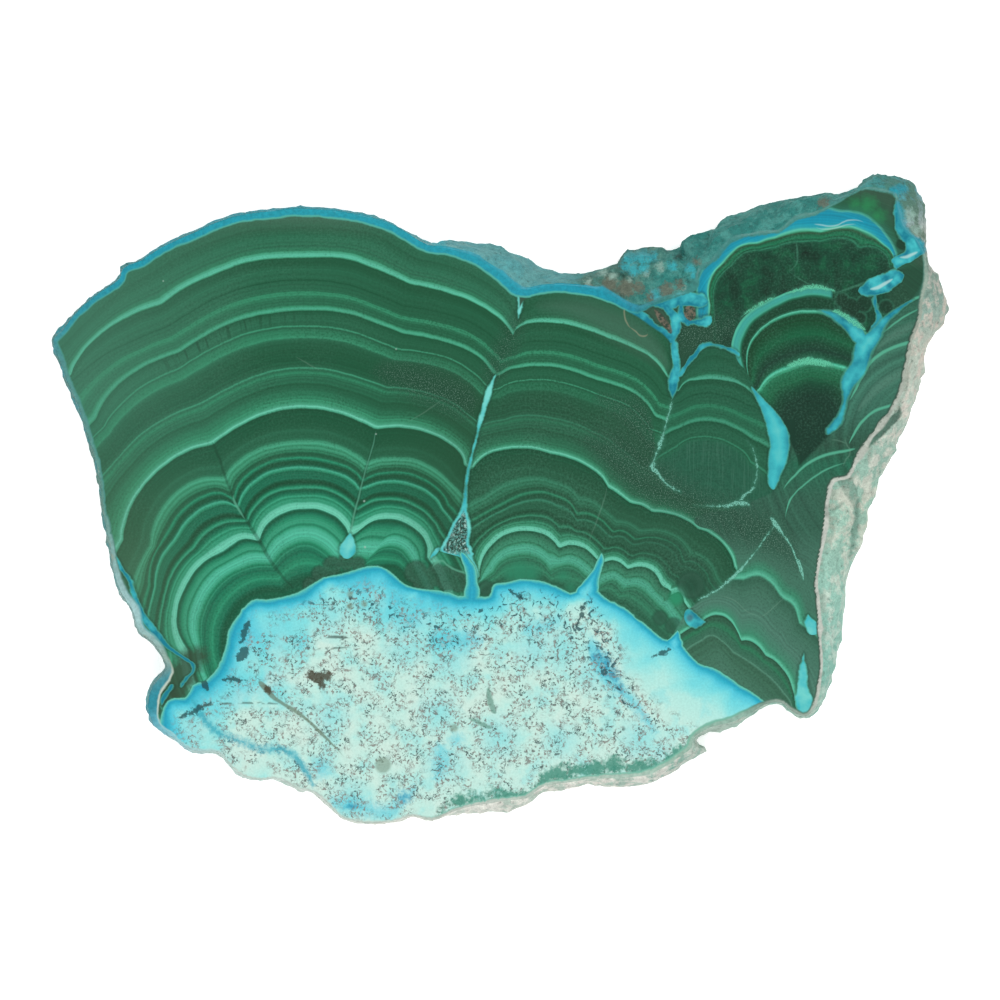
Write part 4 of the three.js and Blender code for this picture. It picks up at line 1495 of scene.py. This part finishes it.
CORE_CRACKS = [
    ("x", [(258, 682, 1), (266, 689, 3), (272, 696, 2.4), (282, 703, 1.6), (292, 709, 1.8),
           (305, 718, 1.4), (318, 730, 1.6), (330, 742, 1), (347, 760, 1)]),
]
CORE_SCRATCHES = [
    ("x", [(196, 708, 1), (220, 704, 0.8), (245, 703, 0.8), (262, 703, 0.9), (282, 704, 1)]),
    ("x", [(325, 638, 1), (332, 637, 1.2), (345, 637, 1.4), (358, 635, 1)]),
    ("x", [(316, 650, 1), (328, 648, 0.8), (338, 648, 0.8), (352, 647, 1)]),
]
CORE_GREENS = [
    ("x", [(436, 807, 1), (460, 802, 4), (480, 798, 4), (500, 795, 4), (520, 795, 3), (536, 790, 4),
           (548, 778, 5), (560, 773, 5), (580, 770, 6), (600, 768, 7), (625, 768, 7), (650, 768, 5),
           (665, 760, 5), (680, 754, 5), (695, 748, 4), (704, 744, 1)]),
]
CORE_LEAVES = [
    ("y", [(686, 488, 1), (695, 489, 2.4), (704, 491, 3), (714, 495, 1)]),
    ("x", [(468, 718, 1), (476, 721, 1.8), (484, 725, 2), (492, 728, 1)]),
]
GREY_SPOTS = [(383, 765, 8), (454, 728, 4), (350, 594, 3), (364, 604, 3), (350, 606, 3)]
BROWN_SPOTS = [
    (312, 676, 5), (320, 678, 6), (327, 676, 5), (322, 684, 4), (548, 784, 3), (555, 788, 2.5),
    (268, 690, 4),
]
CALM_SOFT, CORE_EDGE = 16, 1.5
MILK, CYAN_HAZE = (paint(218, 241, 228), 0.7), (paint(132, 227, 230), 0.65)
BLUE_CLOUD, DEEP_BLUE = (paint(84, 210, 226), 0.7), (paint(40, 150, 184), 0.75)
FEWER_LEFT = (330, 220)
SMUDGE, SPECKS_SHOW = (paint(160, 184, 180), 0.55), 0.88
SPECK_DARK, SPECK_BROWN = paint(70, 84, 84), paint(140, 136, 130)
ZONE_DARK, BLOT_DARK = (paint(46, 84, 92), 0.85), (paint(42, 78, 80), 0.85)
VEIN_BLUE, EDGE_GREEN = (paint(66, 176, 192), 0.85), (paint(72, 150, 130), 0.9)
CORE_CRACK, CORE_SCRATCH, SCRATCH_SHOWS = (paint(112, 132, 112), 0.8), paint(84, 106, 98), 0.85
LEAF_GREEN, SPOT_GREY = (paint(112, 160, 144), 0.8), (paint(134, 160, 142), 0.7)
SPOT_BROWN = paint(78, 74, 58), 0.9
CORE_LIGHT = (0.3, 0.85)


def core_blues(sheet, inside, calm, far_in):
    """Blue at the contact, fading to pale mint, with milk, haze and blue clouds in it."""
    cloud = grain(sheet.flat, 0.02, detail=3)
    width = line_of(sheet.x.between(CORE_WIDTHS[0][0], CORE_WIDTHS[-1][0]), CORE_WIDTHS)
    width = width * calm.most(cloud.times_plus(3.2, -0.6)).most(0.3)
    colour = shaded(inside.most(0) / width + inside.least(0), CORE_SHADES)
    milky = grain(sheet.flat, 0.035, detail=3, roughness=0.55)
    colour = wash(colour, MILK, milky.between(0.4, 0.7) * far_in * inside.between(14, 56))
    haze = frayed(sheet, in_spots(sheet, CYAN_SPOTS), amount=14)
    haze = haze.between(-14, 10).most(milky.between(0.45, 0.32) * 0.6) * inside.between(6, 20)
    colour = wash(colour, CYAN_HAZE, haze)
    clouds = deepest(sheet, BLUE_CLOUDS).most(in_spots(sheet, BLUE_SPOTS))
    colour = wash(colour, BLUE_CLOUD, frayed(sheet, clouds, amount=14).between(-7, 6))
    return wash(colour, DEEP_BLUE, frayed(sheet, in_spots(sheet, DEEP_BLUES), amount=22).between(-3, 6))


def specked(sheet, colour, far_in):
    """Dark and brownish squiggles and dots, crowded in some places and few in others."""
    crowd = grain(sheet.flat, 0.055, detail=2) - sheet.x.between(*FEWER_LEFT) * 0.06
    speckled = crowd.between(0.36, 0.52) * far_in
    squiggles = abs(grain(sheet.flat, 0.24, detail=2, roughness=0.6, warp=0.5) - 0.5).between(0.05, 0.02)
    squiggles = squiggles * grain(sheet.flat, 0.11, detail=1).between(0.48, 0.6)
    dots = grain(sheet.flat, 0.32, detail=2, roughness=0.5).between(0.575, 0.64)
    smudges = grain(sheet.flat, 0.15, detail=3, roughness=0.65).between(0.54, 0.7)
    stain = mix(SPECK_DARK, SPECK_BROWN, grain(sheet.flat, 0.08, detail=2).between(0.4, 0.58))
    colour = wash(colour, SMUDGE, smudges * speckled)
    return wash(colour, (stain, SPECKS_SHOW), squiggles.most(dots) * speckled)


def core(sheet):
    """The pale core with its specks, and over them its blots, vein, cracks, scratches and spots."""
    inside = Wire.node("Attribute", {"attribute_name": "core_depth"}, {}, output="Fac")
    inside = frayed(sheet, inside.most(deepest(sheet, CORE_BAYS)), amount=1.6)
    calm = past_line(sheet, "y", CALM, soft=CALM_SOFT)
    far_in = inside.between(6, 26) * (1 - calm)
    colour = specked(sheet, core_blues(sheet, inside, calm, far_in), far_in)
    zone = inside_vein(sheet, *BLOT_ZONE).between(-8, 6) * inside.between(4, 10)
    dark = grain(sheet.flat, 0.16, detail=3, roughness=0.62, warp=0.6)
    colour = wash(colour, ZONE_DARK, dark.between(0.59, 0.64) * zone)
    colour = wash(colour, VEIN_BLUE, frayed(sheet, inside_vein(sheet, *BLUE_VEIN), amount=14).between(-4, 3))
    greens = deepest(sheet, CORE_GREENS) + sheet.broken.times_plus(20, sheet.blue * 26) - 24
    colour = wash(colour, EDGE_GREEN, greens.between(-5, 3))
    blots = deepest(sheet, BLOTS) + sheet.broken.times_plus(12, -7)
    colour = wash(colour, BLOT_DARK, mask_of(blots, soft=2))
    colour = lined(sheet, colour, CORE_CRACKS, CORE_CRACK)
    gaps = grain(sheet.flat, 0.12, detail=1).between(0.44, 0.54)
    colour = lined(sheet, colour, CORE_SCRATCHES, (CORE_SCRATCH, gaps * SCRATCH_SHOWS))
    colour = wash(colour, LEAF_GREEN, mask_of(frayed(sheet, deepest(sheet, CORE_LEAVES), amount=4), soft=2))
    colour = wash(colour, SPOT_GREY, mask_of(in_spots(sheet, GREY_SPOTS), soft=3))
    colour = wash(colour, SPOT_BROWN, mask_of(frayed(sheet, in_spots(sheet, BROWN_SPOTS), amount=9), soft=2))
    colour = tint(colour, sheet.specks.times_plus(*CORE_LIGHT))
    return {"colour": colour, "in the core": mask_of(inside + CORE_EDGE, CORE_EDGE)}


# %% [markdown]
# ## The skin
# A thin blue-green skin follows the edge of the polish, wide along the crest and thin at the right. It
# changes round the stone, so it is painted by the direction seen from the middle, in an outer strip and
# a paler inner one. Each row has its direction, then the paint and the width of either strip.

# %% Skin by direction
SKIN_ROUND = [
    (0, (100, 150, 138), 1.6, (84, 150, 142), 1.2), (12, (150, 190, 188), 4, (90, 130, 112), 1),
    (17, (164, 204, 204), 5, (110, 180, 184), 1.5), (22, (150, 188, 184), 4, (110, 176, 174), 2),
    (26, (150, 176, 164), 2.5, (120, 150, 130), 1), (27.5, (90, 150, 155), 4, (200, 214, 200), 1.4),
    (29, (54, 146, 162), 8, (206, 220, 204), 1.6), (31, (54, 146, 162), 8.5, (206, 220, 204), 1.6),
    (33, (104, 182, 198), 4, (170, 214, 212), 1),
    (37, (156, 208, 212), 1.6, (170, 218, 214), 0.6), (45, (196, 216, 206), 0.6, (190, 224, 214), 0.4),
    (75, (196, 212, 202), 0.6, (190, 222, 212), 0.4), (80, (190, 200, 190), 1.2, (120, 190, 170), 0.8),
    (118, (170, 200, 184), 1.6, (120, 190, 168), 1.4), (129, (150, 186, 168), 2, (130, 190, 168), 2),
    (138, (150, 186, 170), 3, (120, 185, 165), 2), (142, (130, 160, 145), 2, (90, 130, 112), 1),
    (150, (196, 202, 192), 0.8, (58, 86, 72), 1.4), (180, (196, 202, 192), 0.8, (62, 92, 78), 1.4),
    (203, (160, 170, 156), 0.8, (54, 82, 70), 1.6), (208, (150, 175, 160), 1.6, (90, 140, 125), 1),
    (216, (90, 150, 140), 0.8, (80, 140, 120), 0.5), (231, (56, 130, 124), 0.6, (60, 140, 140), 0.4),
    (235, (44, 140, 160), 3, (70, 170, 165), 1.2), (240, (40, 150, 168), 5, (84, 180, 160), 1.6),
    (246, (38, 152, 172), 6.5, (90, 186, 164), 1.6), (262, (44, 156, 174), 6, (88, 180, 162), 1.8),
    (310, (44, 158, 174), 5.5, (88, 180, 162), 1.6), (328, (42, 154, 172), 4.5, (80, 172, 158), 1.2),
    (338, (56, 150, 162), 3.2, (76, 164, 154), 1), (343, (88, 148, 144), 3, (80, 146, 134), 1),
    (360, (100, 150, 138), 1.6, (84, 150, 142), 1.2),
]
WIDEST_SKIN = 20
FULL_TURN = 360
EDGE_KNOBS = [
    (57, 369, 4), (74, 408, 4), (81, 431, 4), (94, 472, 5), (106, 545, 5), (109, 558, 5), (143, 640, 5),
]
TIP_BLUE, KNOB_GREY = (paint(46, 152, 168), 0.9), paint(150, 172, 160)


def direction(sheet):
    """The direction seen from the sheet's middle, in degrees anticlockwise from its left edge."""
    right, up = sheet.x - SHEET_CENTRE[0], SHEET_CENTRE[1] - sheet.y
    return Wire.sum("ARCTAN2", up, right).times_plus(math.degrees(1), 180)


def tipped(sheet, colour):
    """The veins that come out at the horn's tip, over its skin and rind."""
    return wash(colour, TIP_BLUE, frayed(sheet, deepest(sheet, TIP_VEINS), amount=6).between(-2, 3))


def skin(sheet):
    """The thin skin along the edge of the polish: an outer strip, a paler inner one and grey knobs."""
    heading = direction(sheet)
    outer = ramp(heading, 0, FULL_TURN, [(at, paint(*c)) for at, c, _, _, _ in SKIN_ROUND])
    inner = ramp(heading, 0, FULL_TURN, [(at, paint(*c)) for at, _, _, c, _ in SKIN_ROUND])
    widths = ramp(heading, 0, FULL_TURN, [
        (at, (wide / WIDEST_SKIN, (wide + more) / WIDEST_SKIN, 0, 1)) for at, _, wide, _, more in SKIN_ROUND
    ])
    reaches = [Wire.node("SeparateColor", {}, {0: widths}, output=axis) * WIDEST_SKIN for axis in range(2)]
    depth = Wire.node("Attribute", {"attribute_name": "edge_depth"}, {}, output="Fac")
    depth = depth + grain(sheet.flat, 0.06, detail=3).times_plus(3, -1.5)
    outer = tint(outer, sheet.broken.times_plus(0.8, 0.6))
    colour = mix(inner, outer, mask_of(reaches[0] - depth, soft=1.5))
    knobs = frayed(sheet, in_spots(sheet, EDGE_KNOBS), amount=4)
    colour = tipped(sheet, mix(colour, KNOB_GREY, mask_of(knobs, soft=2)))
    return {"colour": colour, "in the skin": mask_of((reaches[1] - depth).most(knobs), soft=1.5)}


# %% [markdown]
# ## The rind
# The natural rind is chalky beige at the foot, grey-green and pinkish at the right, teal and brown above.
# Each direction has two paints, mottled by a noise that runs through the solid, so that no side is
# smeared. Spots, broken facets and the groove under the polish are set where the stone has them. The hollows
# of the bumps are given painted shade and their tops painted light.

# %% Rind by direction
RIND_ROUND = [
    (0, (96, 136, 124), (70, 140, 140)), (17, (150, 180, 176), (110, 160, 158)),
    (25, (120, 156, 148), (150, 176, 168)), (30, (62, 142, 154), (96, 160, 160)),
    (36, (132, 192, 204), (178, 208, 206)), (42, (206, 228, 222), (184, 212, 204)),
    (55, (214, 228, 220), (190, 212, 202)), (70, (226, 230, 220), (192, 208, 196)),
    (110, (230, 230, 220), (176, 198, 184)), (122, (212, 216, 206), (136, 180, 165)),
    (140, (150, 190, 174), (190, 206, 192)), (150, (136, 190, 174), (180, 210, 196)),
    (160, (152, 200, 184), (190, 214, 200)), (178, (160, 198, 180), (202, 210, 194)),
    (186, (152, 188, 172), (202, 210, 197)), (193, (188, 206, 192), (216, 212, 200)),
    (200, (188, 200, 186), (212, 204, 192)), (204, (140, 170, 158), (196, 192, 180)),
    (212, (112, 134, 118), (180, 186, 180)), (217, (84, 130, 116), (70, 150, 158)),
    (222, (56, 126, 119), (76, 146, 138)), (234, (54, 126, 119), (76, 144, 136)),
    (240, (66, 112, 102), (92, 130, 116)), (249, (76, 118, 106), (74, 138, 134)),
    (254, (100, 160, 158), (92, 158, 160)), (270, (100, 162, 162), (92, 160, 162)),
    (285, (112, 168, 168), (88, 158, 164)), (300, (60, 146, 156), (56, 152, 166)),
    (345, (90, 136, 130), (62, 146, 156)), (360, (96, 136, 124), (70, 140, 140)),
]
RIND_BLUES = [
    (630, 256, 8), (640, 254, 9), (651, 256, 6), (626, 267, 5), (634, 269, 6), (643, 268, 5),
    (672, 266, 4), (690, 268, 4), (694, 276, 3), (440, 244, 6), (656, 294, 4),
]
RIND_BROWNS = [
    (610, 283, 8), (626, 288, 9), (637, 287, 6), (666, 291, 8), (652, 297, 6), (680, 285, 5),
    (697, 262, 4), (824, 203, 6), (590, 288, 5),
]
RIND_PALES = [
    (604, 271, 4.5), (613, 276, 3.5), (660, 267, 3.5), (688, 290, 3), (646, 273, 3), (910, 215, 6),
    (916, 230, 5), (588, 281, 3), (630, 279, 2),
]
RIND_DARKS = [
    (622, 276, 2.5), (626, 273, 2), (692, 284, 4), (692, 290, 3), (679, 256, 4), (620, 299, 4),
    (648, 310, 5), (641, 306, 3),
]
RIND_SPOTS = [
    (RIND_BROWNS, paint(104, 106, 92)), (RIND_PALES, paint(146, 180, 168)),
    (RIND_BLUES, paint(60, 170, 180)), (RIND_DARKS, paint(36, 70, 62)),
]
RIND_SPOTS_SHOW, RIND_SPOT_HEIGHTS = 0.8, (1.5, 5)
WEDGE = ("y", [
    (403, 900, 1), (413, 898, 3), (420, 892, 4.5), (427, 885, 4.5), (434, 878, 4.5), (441, 871, 4),
    (449, 864, 2.5), (456, 858, 1),
])
FACETS = [
    ("x", [(834, 476, 1), (842, 482, 6), (850, 490, 7), (856, 500, 5), (860, 514, 1)]),
    ("y", [(496, 858, 1), (515, 857, 3), (540, 854, 3), (560, 850, 1)]),
    ("x", [(830, 513, 1), (838, 507, 1.5), (845, 502, 1)]),
]
FACET_GREY, WEDGE_GREEN = (paint(98, 132, 118), 0.55), (paint(50, 92, 76), 0.85)
GROOVE_HEIGHTS, GROOVE_START, GROOVE_END = (8.5, 8.8), (146, 152), (203, 197)
GROOVE_GREEN, PIT_SHADE = (paint(92, 130, 114), 0.5), (paint(58, 78, 68), 0.5)
MOTTLE, ROUGH, FINE = (0.07, 4), (0.2, 3), (0.7, 1)
ROUGH_SHADING, FINE_SHADING = (1, 0.58), (0.6, 0.72)
RIND_TOP, RIND_FOOT = (8.93, 8.88), (0.03, 0.06)


def lumps_of(sheet, scale, detail):
    """Noise that runs through the solid."""
    sockets = {"Vector": sheet.solid, "Scale": scale, "Detail": detail, "Roughness": 0.65}
    return Wire.node("TexNoise", {}, sockets)


def rind(sheet):
    """The natural rind: chalky, mottled and pitted, with painted shade in the hollows of its bumps and
    painted light on their tops.
    """
    heading = direction(sheet)
    main = ramp(heading, 0, FULL_TURN, [(at, paint(*c)) for at, c, _ in RIND_ROUND])
    patch = ramp(heading, 0, FULL_TURN, [(at, paint(*c)) for at, _, c in RIND_ROUND])
    mottle, rough, fine = (lumps_of(sheet, *size) for size in (MOTTLE, ROUGH, FINE))
    colour = mix(main, patch, mottle.between(0.46, 0.58))
    ragged = sheet.broken.times_plus(14, -7)
    for spots, tone in RIND_SPOTS:
        spotted = (in_spots(sheet, spots) + ragged).between(-2.5, 2.5)
        colour = wash(colour, (tone, RIND_SPOTS_SHOW), spotted * sheet.height.between(*RIND_SPOT_HEIGHTS))
    colour = wash(colour, FACET_GREY, (deepest(sheet, FACETS) + ragged * 0.4).between(-2, 2))
    colour = wash(colour, WEDGE_GREEN, (inside_vein(sheet, *WEDGE) + ragged * 0.3).between(-1.5, 1.5))
    groove = sheet.height.between(*GROOVE_HEIGHTS) * heading.between(*GROOVE_START)
    groove = groove * heading.between(*GROOVE_END)
    colour = tipped(sheet, wash(colour, GROOVE_GREEN, groove * mottle.between(0.38, 0.54)))
    # Lighter on the tops of the bumps and darker in their hollows and pits, following the relief: painted
    # shade.
    colour = tint(colour, rough.times_plus(*ROUGH_SHADING) * fine.times_plus(*FINE_SHADING))
    colour = wash(colour, PIT_SHADE, rough.between(0.38, 0.26))
    on_rind = sheet.height.between(*RIND_TOP) * sheet.height.between(*RIND_FOOT)
    return {"colour": colour, "relief": fine.times_plus(0.4, rough), "on the rind": on_rind}


# %% [markdown]
# ## The stone's surface
# Each region is drawn in a node group of its own. Their surfaces are laid over each other in the order
# in which they hide each other: the crest, the right side, the core, the skin and the rind. The polish
# is smooth on the face and the rind is chalky and bumpy.

# %% The stone's material
BUMP_HEIGHT = 0.3 * MM
BUMP_STRENGTH = 0.8
SOCKET_KINDS = {"RGBA": "NodeSocketColor", "VALUE": "NodeSocketFloat"}


def drawn(region):
    """The wires of one region, drawn in a node group."""
    whole = Wire.tree
    group = bpy.data.node_groups.new(region.__name__, "ShaderNodeTree")
    Wire.tree = group
    wires = region(Sheet())
    for name, wire in wires.items():
        group.interface.new_socket(name, in_out="OUTPUT", socket_type=SOCKET_KINDS[wire.socket.type])
    Wire.node("NodeGroupOutput", {}, wires)
    print(region.__name__, "nodes:", len(group.nodes))
    Wire.tree = whole
    made = Wire.node("Group", {"node_tree": group}, {}).socket.node
    return [Wire(socket) for socket in made.outputs]


def stone_material():
    """The whole stone, face, back and rind."""
    material = bpy.data.materials.new("banded_malachite")
    material.use_nodes = True
    Wire.tree = material.node_tree
    Wire.tree.nodes.remove(Wire.tree.nodes["Principled BSDF"])
    [crest_colour] = drawn(crest)
    saddle_colour, right_of_cleft, in_horn = drawn(saddle)
    [horn_colour] = drawn(horn)
    core_colour, in_core = drawn(core)
    skin_colour, in_skin = drawn(skin)
    rind_colour, relief, on_rind = drawn(rind)
    bump = Wire.node("Bump", {}, {"Strength": BUMP_STRENGTH, "Distance": BUMP_HEIGHT, "Height": relief})
    right = over(surface(saddle_colour, POLISH), surface(horn_colour, POLISH), in_horn)
    whole = over(surface(crest_colour, POLISH), right, right_of_cleft)
    whole = over(whole, surface(core_colour, POLISH), in_core)
    whole = over(whole, surface(skin_colour, POLISH), in_skin)
    whole = over(whole, surface(rind_colour, CHALKY, Normal=bump), on_rind)
    Wire.tree.links.new(whole.socket, Wire.tree.nodes["Material Output"].inputs["Surface"])
    return material


stone_mesh.materials.append(stone_material())
print("material:", stone_mesh.materials[0].name)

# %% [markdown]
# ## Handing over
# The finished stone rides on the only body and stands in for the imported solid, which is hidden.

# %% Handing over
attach(stone, "root")
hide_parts(SLICE)
